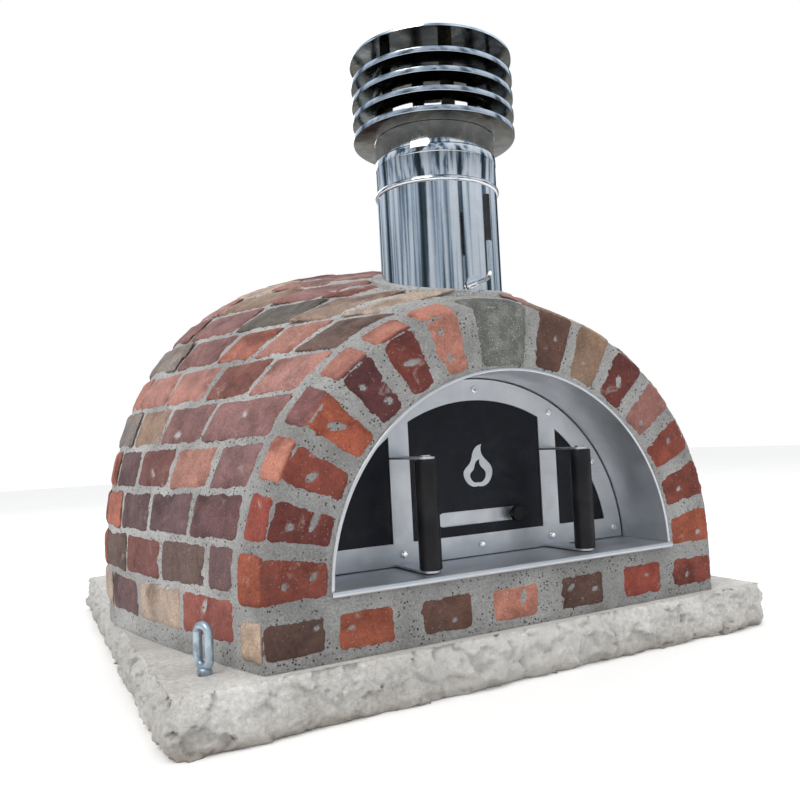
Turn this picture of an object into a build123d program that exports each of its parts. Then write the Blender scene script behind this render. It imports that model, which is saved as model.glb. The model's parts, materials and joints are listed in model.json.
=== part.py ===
from build123d import *
import math
import os

# Wood fired brick pizza oven on a stone slab. Millimetres, +Z up, the mouth faces -Y.
# The origin is the centre of the slab's underside.

# ---- slab and its lifting eyes
slab_width = 1002
slab_depth = 1076
slab_thickness = 71
slab_top_chamfer = 9
slab_bottom_chamfer = 5
slab_front_margin = 34
eye_side_inset = 71
eye_end_inset = 92
eye_rod = 11
eye_loop_width = 32
eye_loop_height = 66
eye_collar_radius = 9
eye_collar_height = 4
eye_shank_radius = 8
eye_shank_depth = 45

# ---- outer form: a front arch that flares back into a dome
mouth_offset = 10
arch_outer_radius = 380
springing_height = 82
dome_radius = 494
dome_height = 602
dome_set_back = 480
dome_squareness = 2.37
dome_upright = 60
flare_power = 1.4
profile_points = 9
vault_sections = 5

# ---- wall build-up
front_thickness = 45
skin_thickness = 40
slip_bed = 9
brick_proud = 1.5
joint = 13
course_pitch = 65.5
first_joint_height = 24
crown_ring_radius = 150
crown_brick_length = 112
crown_margin = 2
course_stations = 600
least_brick_side = 32.5
least_brick_share = 0.3

# ---- mouth, hearth and refractory
mouth_radius = 287
liner_sheet = 2
liner_depth = 150
liner_rim = 5
rim_rounding = 2.25
sill_rise = 8
sill_sheet = 1.5
sill_hem_radius = 4.48
board_thickness = 50
tile_thickness = 40
tile_size = 240
tile_gap = 2
chamber_radius = 358
chamber_height = 378
casting_wall = 45
vault_wall = 34
wall_clearance = 1

# ---- brick ring round the mouth
ring_gap = 6
bricks_each_side = 7
keystone_angle = 92
keystone_half_angle = 7.4
first_brick_offset = 15.1
lowest_brick_angle = 4.6
ring_joint = 13
ring_overreach = 60
row_brick_width = 86
row_brick_height = 53
row_shifts = [-4, -20, -12, -13, -3, 4, -2]

# ---- flue, damper and cap
flue_set_back = 189
flue_radius = 100
flue_bore = 75
pipe_sheet = 1
flue_joint_height = 677
bead_height = 9
bead_proud = 3.5
band_height = 15
band_rise = 46
band_proud = 0.8
collar_width = 16
collar_proud = 9
damper_rise = 18
flue_foot_gap = 1
collar_flange_room = 1
damper_clearance = 1.5
damper_sheet = 3
damper_shaft = 10
shaft_nose = 14
shaft_tail = 6
flange_width = 8
flange_proud = 4
flange_thickness = 2.5
bush_wall = 4
damper_screw_radius = 2
damper_screw_length = 14
lever_bend = 12
shaft_clearance = 0.05
lever_reach = 50
lever_rise = 124
lever_rod = 7
sleeve_length = 68
sleeve_wall = 1.6
cap_overhang = 35.5
cap_start = 772.5
cap_top_height = 906
cap_top_lip = 4
cap_pitch = 30
cap_lip = 8
cap_sheet = 1.2
cap_rings = 4
cap_clearance = 1.5
spigot_sheet = 1.5
spigot_depth = 32
spigot_rise = 6
wool_drop = 40
strut_width = 22
strut_turn = 15
rivet_radius = 2.5
rivet_inside = 1.5
rivet_proud = 2.5
strut_count = 6

# ---- door
door_set_back = 104
door_clearance = 2
door_floor_gap = 1.5
frame_sheet = 3
frame_band = 33
bar_spacing = 272
panel_sheet = 2
core_thickness = 24
back_sheet = 2
core_gap = 1
rim_sheet = 1.5
stop_width = 10
stop_sheet = 4
bolt_head_radius = 6
bolt_head_height = 4
bolt_shank = 5
bolt_tip = 5
bolt_angles = [32, 58, 90, 122, 148]
nut_radius = 4.6
nut_height = 4
grip_standoff = 84
grip_radius = 16
grip_length = 154
grip_rod = 8
grip_edge = 3
grip_head_height = 2.5
grip_head_radius = 7.5
tab_sheet = 3
tab_end_radius = 13
tab_lift = 2
slot_margin = 137
slot_height = 22
slot_rise = 69
vent_plate_height = 40
vent_sheet = 2
vent_clearance = 0.5
rail_width = 8
vent_overlap = 10
knob_radius = 12.5
knob_length = 13
knob_neck = 6
knob_gap = 4
knob_edge = 3
knob_end_room = 5
knob_screw_radius = 2
emblem_rise = 150
emblem_size = 66
emblem_sheet = 1
emblem_inner = 0.55
emblem_inner_rise = 0.09

# ---- derived places
front_y = slab_front_margin - slab_depth / 2
dome_y = front_y + dome_set_back
split_y = front_y + front_thickness
sill_z = slab_thickness + springing_height + sill_rise
arch_z = slab_thickness + springing_height
flue_y = front_y + flue_set_back
door_y = front_y + door_set_back
hearth_z = slab_thickness + board_thickness + tile_thickness
slot_length = mouth_radius - slot_margin
cap_bore = flue_radius + cap_clearance
cap_radius = flue_radius + cap_overhang
big = 3 * (slab_width + slab_depth)


def save(shape, name):
    """Write one sub-part, kept as plain solids."""
    solids = list(shape) if isinstance(shape, (list, ShapeList)) else list(shape.solids())
    node = solids[0] if len(solids) == 1 else Compound(children=solids)
    node.label = name
    export_step(node, f"parts/{name}.step")


def box(x0, x1, y0, y1, z0, z1):
    """An axis-aligned block from its six limits."""
    centre = ((x0 + x1) / 2, (y0 + y1) / 2, (z0 + z1) / 2)
    return Pos(*centre) * Box(x1 - x0, y1 - y0, z1 - z0)


def rod(start, end, radius):
    """A round bar between two points."""
    start, end = Vector(*start), Vector(*end)
    plane = Plane(origin=start, z_dir=end - start)
    return extrude(plane * Circle(radius), (end - start).length)


def tube(radius, bore, z0, z1, x=mouth_offset, y=flue_y):
    """An upright tube, on the flue's axis unless told otherwise."""
    ring = Circle(radius) - Circle(bore)
    return extrude(Pos(x, y, z0) * ring, z1 - z0)


def half_disc(radius, y0, y1, floor_z, centre_z=arch_z):
    """The mouth's arched prism of one radius, from y0 back to y1, cut off level at floor_z."""
    disc = extrude(Pos(mouth_offset, y1, centre_z) * Rot(90, 0, 0) * Circle(radius), y1 - y0)
    return disc & box(-big, big, y0 - 1, y1 + 1, floor_z, big)


# ---- the outer form ---------------------------------------------------------------------------

def profile(back, inset=0):
    """Half width, height, upright height and squareness of the section this far behind the front."""
    t = min(1, back / dome_set_back)
    k = 1 - (1 - t) ** flare_power
    front_height = springing_height + arch_outer_radius
    half_width = arch_outer_radius + (dome_radius - arch_outer_radius) * k - inset
    height = front_height + (dome_height - front_height) * k - inset
    upright = springing_height + (dome_upright - springing_height) * k
    return half_width, height, upright, 2 + (dome_squareness - 2) * k


def centre_x(back):
    """The centre line runs from the mouth's to the slab's."""
    return mouth_offset * (1 - min(1, back / dome_set_back))


def half_width_at(back, z, inset=0):
    """Half width of the form at a height above the slab, or 0 above its crown."""
    half_width, height, upright, power = profile(back, inset)
    if z <= upright:
        return half_width
    if z >= height:
        return 0
    return half_width * (1 - ((z - upright) / (height - upright)) ** power) ** (1 / power)


def arch_points(back, inset, count=profile_points):
    """Points on the right half of a section, from the end of the upright to the crown."""
    half_width, height, upright, power = profile(back, inset)
    points = []
    for i in range(count):
        a = math.pi / 2 * i / (count - 1)
        x = half_width * max(0, math.cos(a)) ** (2 / power)
        z = upright + (height - upright) * math.sin(a) ** (2 / power)
        points.append((x if i < count - 1 else 0, z))
    return points


def section(back, inset):
    """One closed cross-section of the form, standing across the oven."""
    half_width, _, upright, _ = profile(back, inset)
    right = arch_points(back, inset)
    left = [(-x, z) for x, z in reversed(right)]
    edges = [
        Line((-half_width, 0), (half_width, 0)),
        Line((half_width, 0), (half_width, upright)),
        Spline(*right, tangents=[(0, 1), (-1, 0)]),
        Spline(*left, tangents=[(-1, 0), (0, -1)]),
        Line((-half_width, upright), (-half_width, 0)),
    ]
    plane = Plane(origin=(centre_x(back), front_y + back, slab_thickness), x_dir=(1, 0, 0), z_dir=(0, -1, 0))
    return plane * make_face(edges)


def form(inset, start):
    """The whole outer form as one solid, inset all round, beginning start behind the front face."""
    spans = vault_sections - 1
    steps = [start + (dome_set_back - start) * i / spans for i in range(vault_sections)]
    vault = loft([section(s, inset) for s in steps])
    half_width, height, upright, _ = profile(dome_set_back, inset)
    edges = [
        Line((0, 0), (half_width, 0)),
        Line((half_width, 0), (half_width, upright)),
        Spline(*arch_points(dome_set_back, inset), tangents=[(0, 1), (-1, 0)]),
        Line((0, height), (0, 0)),
    ]
    plane = Plane(origin=(0, dome_y, slab_thickness), x_dir=(1, 0, 0), z_dir=(0, -1, 0))
    axis = Axis((0, dome_y, 0), (0, 0, 1))
    apse = revolve(plane * make_face(edges), axis, 180)
    return vault + apse


def station(u, z):
    """A point on the form, u along its plan from the front left corner round to the front right."""
    sweep = math.pi * dome_radius
    if u < dome_set_back:
        return Vector(centre_x(u) - half_width_at(u, z), front_y + u, slab_thickness + z)
    if u > dome_set_back + sweep:
        back = max(0, 2 * dome_set_back + sweep - u)
        return Vector(centre_x(back) + half_width_at(back, z), front_y + back, slab_thickness + z)
    angle = (u - dome_set_back) / dome_radius
    reach = half_width_at(dome_set_back, z)
    return Vector(-reach * math.cos(angle), dome_y + reach * math.sin(angle), slab_thickness + z)


def course_heights():
    """Heights of the bed joints, evenly spaced along the dome's profile."""
    heights = [first_joint_height]
    run, z = 0, first_joint_height
    while half_width_at(dome_set_back, z) > crown_ring_radius:
        step = half_width_at(dome_set_back, z) - half_width_at(dome_set_back, z + 1)
        run += math.hypot(1, step)
        z += 1
        if run >= course_pitch:
            heights.append(z)
            run = 0
    return heights


# ---- facing bricks ----------------------------------------------------------------------------

def inset_quad(corners, centre, gap):
    """Lay a four-sided outline flat through a centre and move each side inwards by half a joint."""
    normal = (corners[2] - corners[0]).cross(corners[3] - corners[1]).normalized()
    flat = [p - normal * (p - centre).dot(normal) for p in corners]
    sides = []
    for a, b in zip(flat, flat[1:] + flat[:1]):
        along = (b - a).normalized()
        inward = normal.cross(along)
        sides.append((a + inward * (gap / 2), along))
    points = []
    for (p, d), (q, e) in zip(sides[-1:] + sides[:-1], sides):
        points.append(p + d * ((q - p).cross(e).dot(normal) / d.cross(e).dot(normal)))
    return points, normal


def slip(corners, centre):
    """A facing brick laid flat on the form at its centre, bedded in the mortar and slightly proud."""
    points, normal = inset_quad(corners, centre, joint)
    if normal.dot(centre - Vector(0, dome_y - dome_set_back / 4, slab_thickness + dome_height / 4)) < 0:
        normal = normal * -1
    outline = Polyline(*[p + normal * brick_proud for p in points], close=True)
    return extrude(make_face(outline), brick_proud + slip_bed, dir=normal * -1)


def clear_of_flue(brick):
    """Cut a brick back from the collar round the flue; None where little of it is left."""
    cutter = extrude(Pos(mouth_offset, flue_y, 0) * Circle(flue_radius + collar_width), big)
    rest = brick - cutter
    pieces = rest.solids()
    if not pieces or max(s.volume for s in pieces) < least_brick_share * brick.volume:
        return None
    return max(pieces, key=lambda s: s.volume)


def course_run(z):
    """Stations along one course at height z with their running length."""
    total = 2 * dome_set_back + math.pi * dome_radius
    run, points = 0, []
    for i in range(course_stations + 1):
        u = total * i / course_stations
        back = min(u, total - u)
        if back < front_thickness + joint / 2 or half_width_at(back, z) <= 0:
            continue
        p = station(u, z)
        if points:
            run += (p - points[-1][2]).length
        points.append((run, u, p))
    return points


def station_at(points, run):
    """The station at one running length."""
    for (a, u, _), (b, v, _) in zip(points, points[1:]):
        if a <= run <= b:
            return u + (v - u) * (run - a) / (b - a)
    return points[-1][1]


# lengths of the first bricks behind the mouth in each course, then the lengths they go on with
side_lengths = [
    [140, 143, 124], [68, 134, 132, 119], [124, 128, 117], [95, 111, 117, 96], [156, 122, 104],
    [103, 106, 113, 107], [87, 83, 90, 115], [61, 80, 98], [69, 75, 110],
]
running_lengths = [118, 132, 104, 126, 112, 98, 138]


def brick_lengths(index, total):
    """Brick lengths for one course, the same from both ends, filling its whole run."""
    first = side_lengths[index] if index < len(side_lengths) else []
    lengths = list(first)
    i = index
    while sum(lengths) < total / 2:
        lengths.append(running_lengths[i % len(running_lengths)])
        i += 1
    lengths.pop()
    middle = total - 2 * sum(lengths)
    parts = max(1, round(middle / running_lengths[0]))
    return lengths + [middle / parts] * parts + lengths[::-1]


def course(index, z0, z1):
    """All bricks of one course, cut round the flue."""
    points = course_run((z0 + z1) / 2)
    total = points[-1][0]
    bricks, run = [], 0
    for length in brick_lengths(index, total):
        u0, u1 = station_at(points, run), station_at(points, run + length)
        run += length
        corners = [station(u0, z0), station(u1, z0), station(u1, z1), station(u0, z1)]
        heights = [(corners[3] - corners[0]).length, (corners[2] - corners[1]).length]
        if min((corners[2] - corners[3]).length, min(heights)) < least_brick_side:
            continue
        brick = clear_of_flue(slip(corners, station((u0 + u1) / 2, (z0 + z1) / 2)))
        if brick:
            bricks.append(brick)
    return bricks


def crown_height(x, y):
    """Height of the form above the slab at a point in plan near the top of the dome."""
    if y <= dome_y:
        half_width, height, upright, power = profile(y - front_y)
        across = abs(x - centre_x(y - front_y))
    else:
        half_width, height, upright, power = profile(dome_set_back)
        across = math.hypot(x, y - dome_y)
    rest = max(0, 1 - (across / half_width) ** power)
    return upright + (height - upright) * rest ** (1 / power)


def crown(ring_height):
    """Rows of bricks that close the top of the dome inside the last course."""
    bricks = []
    rows = math.ceil(2 * crown_ring_radius / course_pitch)
    columns = math.ceil(2 * crown_ring_radius / crown_brick_length)
    for row in range(-rows, rows):
        stagger = crown_brick_length / 2 * (row % 2)
        for column in range(-columns, columns):
            x0, y0 = column * crown_brick_length + stagger, dome_y + row * course_pitch
            x1, y1 = x0 + crown_brick_length, y0 + course_pitch
            plan = [(x0, y0), (x1, y0), (x1, y1), (x0, y1)]
            heights = [crown_height(x, y) for x, y in plan]
            if min(heights) < ring_height + crown_margin:
                continue
            corners = [Vector(x, y, slab_thickness + z) for (x, y), z in zip(plan, heights)]
            x, y = (x0 + x1) / 2, (y0 + y1) / 2
            brick = clear_of_flue(slip(corners, Vector(x, y, slab_thickness + crown_height(x, y))))
            if brick:
                bricks.append(brick)
    return bricks


# ---- bricks round the mouth -------------------------------------------------------------------

def ring_wedge(centre, half):
    """A tapered brick of the arch, trimmed to the outer form by its caller."""
    points = []
    inner = mouth_radius + liner_sheet + ring_gap
    outer = arch_outer_radius + ring_overreach
    for radius, side in ((inner, -1), (outer, -1), (outer, 1), (inner, 1)):
        half_joint = math.degrees(ring_joint / 2 / radius)
        angle = math.radians(centre + side * (half - half_joint))
        x = mouth_offset + radius * math.cos(angle)
        points.append(Vector(x, front_y - brick_proud, arch_z + radius * math.sin(angle)))
    return extrude(make_face(Polyline(*points, close=True)), front_thickness + brick_proud, dir=(0, 1, 0))


def ring_angles(side):
    """Centre angles of the arch bricks on one side, 1 on the right and -1 on the left."""
    first = keystone_angle - side * first_brick_offset
    last = lowest_brick_angle if side > 0 else 180 - lowest_brick_angle
    step = (last - first) / (bricks_each_side - 1)
    return [(first + step * i, abs(step) / 2) for i in range(bricks_each_side)]


def row_bricks(envelope):
    """The level row of bricks under the mouth; its end bricks turn the corners."""
    count = len(row_shifts)
    pitch = (2 * arch_outer_radius - row_brick_width) / (count - 1)
    z0 = slab_thickness + first_joint_height - joint
    bricks = []
    for i, shift in enumerate(row_shifts):
        x = mouth_offset + pitch * (i - (count - 1) / 2) + shift
        x0 = -big if i == 0 else x - row_brick_width / 2
        x1 = big if i == count - 1 else x + row_brick_width / 2
        block = box(x0, x1, front_y - brick_proud, split_y, z0, z0 + row_brick_height)
        bricks += (block & envelope).solids()
    return bricks


# ---- refractory and insulation ----------------------------------------------------------------

def dome_solid(radius, height, z0):
    """A dome of revolution standing on z0."""
    points = []
    last = profile_points - 1
    for i in range(profile_points):
        a = math.pi / 2 * i / last
        x = radius * max(0, math.cos(a)) ** (2 / dome_squareness)
        z = dome_upright + (height - dome_upright) * math.sin(a) ** (2 / dome_squareness)
        points.append((x if i < last else 0, z))
    edges = [
        Line((0, 0), (radius, 0)),
        Line((radius, 0), (radius, dome_upright)),
        Spline(*points, tangents=[(0, 1), (-1, 0)]),
        Line((0, height), (0, 0)),
    ]
    plane = Plane(origin=(0, dome_y, z0), x_dir=(1, 0, 0), z_dir=(0, -1, 0))
    return revolve(plane * make_face(edges), Axis((0, dome_y, 0), (0, 0, 1)))


def vault_prism(radius, y0, y1, z0):
    """The arched prism of the mouth carried down to z0, as its round and its upright part."""
    legs = box(mouth_offset - radius, mouth_offset + radius, y0, y1, z0, arch_z)
    return [half_disc(radius, y0, y1, z0), legs]


def without(shape, cutters):
    """The shape with each cutter taken from it in turn."""
    for cutter in cutters:
        shape = shape - cutter
    return shape


def hearth_plan(z0, z1):
    """The floor area of the oven as a prism."""
    clear = mouth_radius + liner_sheet - wall_clearance
    disc = extrude(Pos(0, dome_y, z0) * Circle(chamber_radius - wall_clearance), z1 - z0)
    entry = box(mouth_offset - clear, mouth_offset + clear, front_y + liner_depth, dome_y, z0, z1)
    return disc + entry


def hearth_tiles(z0, z1):
    """Square fire tiles, cut to the floor's outline."""
    plan = hearth_plan(z0, z1)
    pitch = tile_size + tile_gap
    columns = math.ceil(2 * chamber_radius / pitch)
    rows = math.ceil((chamber_radius + dome_set_back - liner_depth) / pitch)
    tiles = []
    for i in range(columns):
        x0 = (i - columns / 2) * pitch
        for j in range(rows):
            y1 = dome_y + chamber_radius - j * pitch
            y0 = max(y1 - tile_size, front_y + liner_depth)
            tile = plan & box(x0, x0 + tile_size, y0, y1, z0 - 1, z1 + 1)
            tiles += tile.solids()
    return tiles


def build_masonry():
    """Slab, floor, casting, insulation, mortar and every facing brick."""
    board_z = slab_thickness + board_thickness
    board_zone = box(-big, big, -big, big, 0, board_z)
    outer = form(0, 0)
    inner = form(skin_thickness, front_thickness)
    flue_hole = tube_core(flue_radius, slab_thickness, slab_thickness + cap_start)
    mouth = half_disc(mouth_radius + liner_sheet, front_y - 10, split_y + 1, sill_z - sill_sheet)

    crown_z = tile_thickness + chamber_height
    dome_outer = dome_solid(chamber_radius + casting_wall, crown_z + casting_wall, board_z)
    dome_inner = dome_solid(chamber_radius, crown_z, board_z)
    entry_radius = mouth_radius + liner_sheet
    vault_end = dome_y - chamber_radius / 3
    vault_void = vault_prism(entry_radius, split_y - 1, vault_end, board_z)
    vault_outer = vault_prism(entry_radius + vault_wall, split_y, vault_end, board_z)
    save(without(dome_outer - dome_inner, vault_void + [flue_hole]), "refractory_dome")
    vault = (vault_outer[0] - dome_outer) + (vault_outer[1] - dome_outer)
    save(without(vault, vault_void + [flue_hole]), "vestibule_vault")
    save(inner & board_zone, "insulation_board")
    blanket = inner - board_zone - dome_outer
    save(without(blanket, vault_outer + [flue_hole]), "insulation_blanket")
    save(hearth_tiles(board_z, hearth_z), "hearth_tiles")
    block = box(mouth_offset - entry_radius + wall_clearance, mouth_offset + entry_radius - wall_clearance,
                split_y, front_y + liner_depth, board_z, sill_z - sill_sheet)
    save(block, "sill_block")

    envelope = form(-brick_proud, -2 * brick_proud)
    ring = {"arch_bricks": []}
    for side in (1, -1):
        for centre, half in ring_angles(side):
            ring["arch_bricks"] += (ring_wedge(centre, half) & envelope).solids()
    key = ring_wedge(keystone_angle, keystone_half_angle + math.degrees(ring_joint / 2 / arch_outer_radius))
    ring["keystone"] = (key & envelope).solids()
    ring["front_row_bricks"] = row_bricks(envelope)

    heights = course_heights()
    courses = [course(i, z0, z1) for i, (z0, z1) in enumerate(zip(heights, heights[1:]))]
    courses.append(crown(heights[-1]))

    shell = outer - inner - flue_hole - mouth
    front_zone = box(-big, big, -big, split_y, 0, big)
    front = (shell & front_zone).cut(*[brick for bricks in ring.values() for brick in bricks])
    save(front, "front_wall_mortar")
    save(shell - front_zone, "dome_mortar")
    for name, bricks in ring.items():
        save(bricks, name)
    for i, bricks in enumerate(courses):
        name = "crown_bricks" if i == len(courses) - 1 else f"brick_course_{i + 1:02d}"
        save(bricks, name)

    collar = tube(flue_radius + collar_width, flue_radius, slab_thickness, slab_thickness + dome_height)
    shaft_z = damper_axis_z()
    way = flange_radius() + collar_flange_room
    shaft_way = rod((mouth_offset, front_y, shaft_z), (mouth_offset, flue_y, shaft_z), way)
    save((collar & form(-collar_proud, 0)) - outer - shaft_way, "flue_collar")


def tube_core(radius, z0, z1):
    """A solid round core on the flue's axis."""
    return extrude(Pos(mouth_offset, flue_y, z0) * Circle(radius), z1 - z0)


# ---- slab and lifting eyes --------------------------------------------------------------------

def eye_places():
    """Plan places of the lifting eyes, one near each corner of the slab."""
    x = slab_width / 2 - eye_side_inset
    y = slab_depth / 2 - eye_end_inset
    return [(-x, -y), (x, -y), (-x, y), (x, y)]


def lifting_eye(x, y):
    """An upright link of round bar on a collar and a shank set in the slab."""
    rod_radius = eye_rod / 2
    bend = (eye_loop_width - eye_rod) / 2
    low = slab_thickness + eye_collar_height + rod_radius + bend
    high = slab_thickness + eye_loop_height - rod_radius - bend
    plane = Plane(origin=(x, y, 0), x_dir=(0, 1, 0), z_dir=(1, 0, 0))
    eye = rod((x, y - bend, low), (x, y - bend, high), rod_radius)
    eye += rod((x, y + bend, low), (x, y + bend, high), rod_radius)
    for centre, keep in ((low, -1), (high, 1)):
        ring = Pos(x, y, centre) * Rot(0, 90, 0) * Torus(bend, rod_radius)
        half = box(x - 50, x + 50, y - 50, y + 50, *sorted((centre, centre + keep * 50)))
        eye += ring & half
    eye += Pos(x, y, slab_thickness + eye_collar_height) * Cylinder(
        eye_collar_radius, 2 * eye_collar_height, align=(Align.CENTER, Align.CENTER, Align.CENTER))
    eye -= box(x - 50, x + 50, y - 50, y + 50, 0, slab_thickness)
    shank = rod((x, y, slab_thickness - eye_shank_depth), (x, y, slab_thickness), eye_shank_radius)
    return (eye + shank).solids()[0]


def build_slab():
    """The stone slab with a sunk hole for each eye's shank."""
    slab = box(-slab_width / 2, slab_width / 2, -slab_depth / 2, slab_depth / 2, 0, slab_thickness)
    slab = chamfer(slab.faces().sort_by(Axis.Z)[-1].edges(), slab_top_chamfer)
    slab = chamfer(slab.faces().sort_by(Axis.Z)[0].edges(), slab_bottom_chamfer)
    for x, y in eye_places():
        slab -= rod((x, y, slab_thickness - eye_shank_depth), (x, y, slab_thickness + 1), eye_shank_radius)
    save(slab, "stone_slab")
    save([lifting_eye(x, y) for x, y in eye_places()], "lifting_eyes")


# ---- mouth lining -----------------------------------------------------------------------------

def build_lining():
    """Stainless lining of the mouth with its rolled front rim, the sill tray and the door's stop."""
    back = front_y + liner_depth
    outer = mouth_radius + liner_sheet
    liner = half_disc(outer, front_y, back, sill_z) - half_disc(mouth_radius, front_y - 1, back + 1, 0)
    rim_outer = half_disc(mouth_radius + liner_rim, front_y - liner_rim, front_y, sill_z)
    rim = rim_outer - half_disc(mouth_radius, front_y - liner_rim - 1, front_y + 1, 0)
    rim = fillet(rim.edges().filter_by(GeomType.CIRCLE).group_by(Axis.Y)[0], rim_rounding)
    save(liner + rim, "arch_liner")

    reach = math.sqrt(mouth_radius ** 2 - (sill_rise + sill_sheet) ** 2) - wall_clearance
    hem = sill_hem_radius
    tray = box(mouth_offset - reach, mouth_offset + reach, front_y - hem, back, sill_z - sill_sheet, sill_z)
    length = mouth_radius + liner_rim
    roll = rod((mouth_offset - length, front_y - hem, sill_z - hem),
               (mouth_offset + length, front_y - hem, sill_z - hem), hem)
    save(tray + roll, "sill_tray")

    stop_y = door_y + door_depth() + vent_clearance
    ring = half_disc(mouth_radius, stop_y, stop_y + stop_sheet, sill_z)
    save(ring - half_disc(mouth_radius - stop_width, stop_y - 1, stop_y + stop_sheet + 1, 0), "door_stop")


# ---- flue, damper and cap ---------------------------------------------------------------------

def flange_radius():
    """Radius of the flange on the damper shaft's bush."""
    return damper_shaft / 2 + flange_width


def damper_axis_z():
    """Height of the damper's axis, on a whole millimetre just above the form in front of the flue."""
    form_height = profile(flue_set_back - flue_radius)[1]
    return slab_thickness + round(form_height + damper_rise)


def turned(points):
    """A ring turned on the flue's axis from an outline of (radius, height above the slab)."""
    plane = Plane(origin=(mouth_offset, flue_y, slab_thickness), x_dir=(1, 0, 0), z_dir=(0, -1, 0))
    outline = make_face(Polyline(*points, close=True))
    return revolve(plane * outline, Axis((mouth_offset, flue_y, 0), (0, 0, 1)))


def build_flue():
    """Double-walled flue in two lengths, joined by a locking band."""
    foot = springing_height + mouth_radius + liner_sheet + flue_foot_gap
    seam = flue_joint_height + bead_height / 2
    shaft_z = damper_axis_z()
    bush_radius = damper_shaft / 2 + bush_wall
    bore = rod((mouth_offset, flue_y - big, shaft_z), (mouth_offset, flue_y, shaft_z), bush_radius)
    far = rod((mouth_offset, flue_y, shaft_z), (mouth_offset, flue_y + flue_bore + 2, shaft_z),
              damper_shaft / 2 + shaft_clearance)
    pocket_end = flue_y + flue_bore + shaft_tail + 2
    pocket = rod((mouth_offset, flue_y, shaft_z), (mouth_offset, pocket_end, shaft_z), damper_shaft / 2 + 1)

    jacket = turned([(flue_radius - pipe_sheet, foot), (flue_radius, foot), (flue_radius, seam),
                     (flue_radius - pipe_sheet, seam)])
    save(jacket - bore, "flue_jacket")
    liner = turned([(flue_bore - pipe_sheet, foot), (flue_radius - pipe_sheet, foot),
                    (flue_radius - pipe_sheet, foot + pipe_sheet), (flue_bore, foot + pipe_sheet),
                    (flue_bore, cap_start - 1), (flue_bore - pipe_sheet, cap_start - 1)])
    save(liner - bore - far, "flue_liner")
    wool = turned([(flue_bore, foot + pipe_sheet), (flue_radius - pipe_sheet, foot + pipe_sheet),
                   (flue_radius - pipe_sheet, cap_start - wool_drop), (flue_bore, cap_start - wool_drop)])
    save(wool - bore - pocket, "flue_insulation")

    top = flue_joint_height + bead_height
    save(turned([(flue_radius, flue_joint_height), (flue_radius + bead_proud, flue_joint_height + 2),
                 (flue_radius + bead_proud, top - 2.5), (flue_radius + 0.8, top), (flue_radius, top)]),
         "locking_band")

    r, inside = flue_radius, flue_radius - pipe_sheet
    low = flue_joint_height + band_rise
    high = low + band_height
    outer = [(r, seam), (r, low), (r + band_proud, low + 2), (r + band_proud, high - 2), (r, high),
             (r, cap_start - 0.5)]
    save(turned(outer + [(inside, cap_start - 0.5), (inside, seam)]), "flue_upper_jacket")

    face = flue_y - flue_radius - flange_proud
    bush = rod((mouth_offset, face, shaft_z),
               (mouth_offset, flue_y - flue_bore + pipe_sheet, shaft_z), bush_radius)
    bush -= tube_core(flue_bore - pipe_sheet, slab_thickness, slab_thickness + cap_start)
    bush += rod((mouth_offset, face, shaft_z), (mouth_offset, face + flange_thickness, shaft_z),
                flange_radius())
    bush -= rod((mouth_offset, face - 1, shaft_z), (mouth_offset, flue_y, shaft_z),
                damper_shaft / 2 + shaft_clearance)
    save(bush, "damper_bush")


def build_damper():
    """Butterfly damper: a disc in a slotted shaft, with a cranked lever and its sleeve."""
    z = damper_axis_z()
    radius = flue_bore - pipe_sheet - damper_clearance
    side = damper_sheet / 2
    disc = rod((mouth_offset - side, flue_y, z), (mouth_offset + side, flue_y, z), radius)
    nose = flue_y - flue_radius - shaft_nose
    shaft = rod((mouth_offset, nose, z), (mouth_offset, flue_y + flue_bore + shaft_tail, z), damper_shaft / 2)
    slot = box(mouth_offset - side, mouth_offset + side,
               flue_y - radius, flue_y + radius, z - damper_shaft, z + damper_shaft)
    screws = []
    for way in (-1, 1):
        y = flue_y + way * radius / 2
        half = damper_screw_length / 2
        screws.append(rod((mouth_offset - half, y, z), (mouth_offset + half, y, z), damper_screw_radius))
    save(disc.cut(*screws), "damper_plate")
    save((shaft - slot).cut(*screws), "damper_shaft")
    save(screws, "damper_screws")

    crank = flue_y - flue_radius - lever_reach
    top = z + lever_rise
    path = FilletPolyline((mouth_offset, nose, z), (mouth_offset, crank, z), (mouth_offset, crank, top),
                          radius=lever_bend)
    profile_plane = Plane(origin=(mouth_offset, nose, z), z_dir=(0, -1, 0))
    save(sweep(profile_plane * Circle(lever_rod / 2), path=path), "damper_lever")
    sleeve = rod((mouth_offset, crank, top - sleeve_length), (mouth_offset, crank, top + sleeve_wall),
                 lever_rod / 2 + sleeve_wall)
    sleeve -= rod((mouth_offset, crank, top - sleeve_length - 1), (mouth_offset, crank, top), lever_rod / 2)
    save(sleeve, "damper_sleeve")


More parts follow.
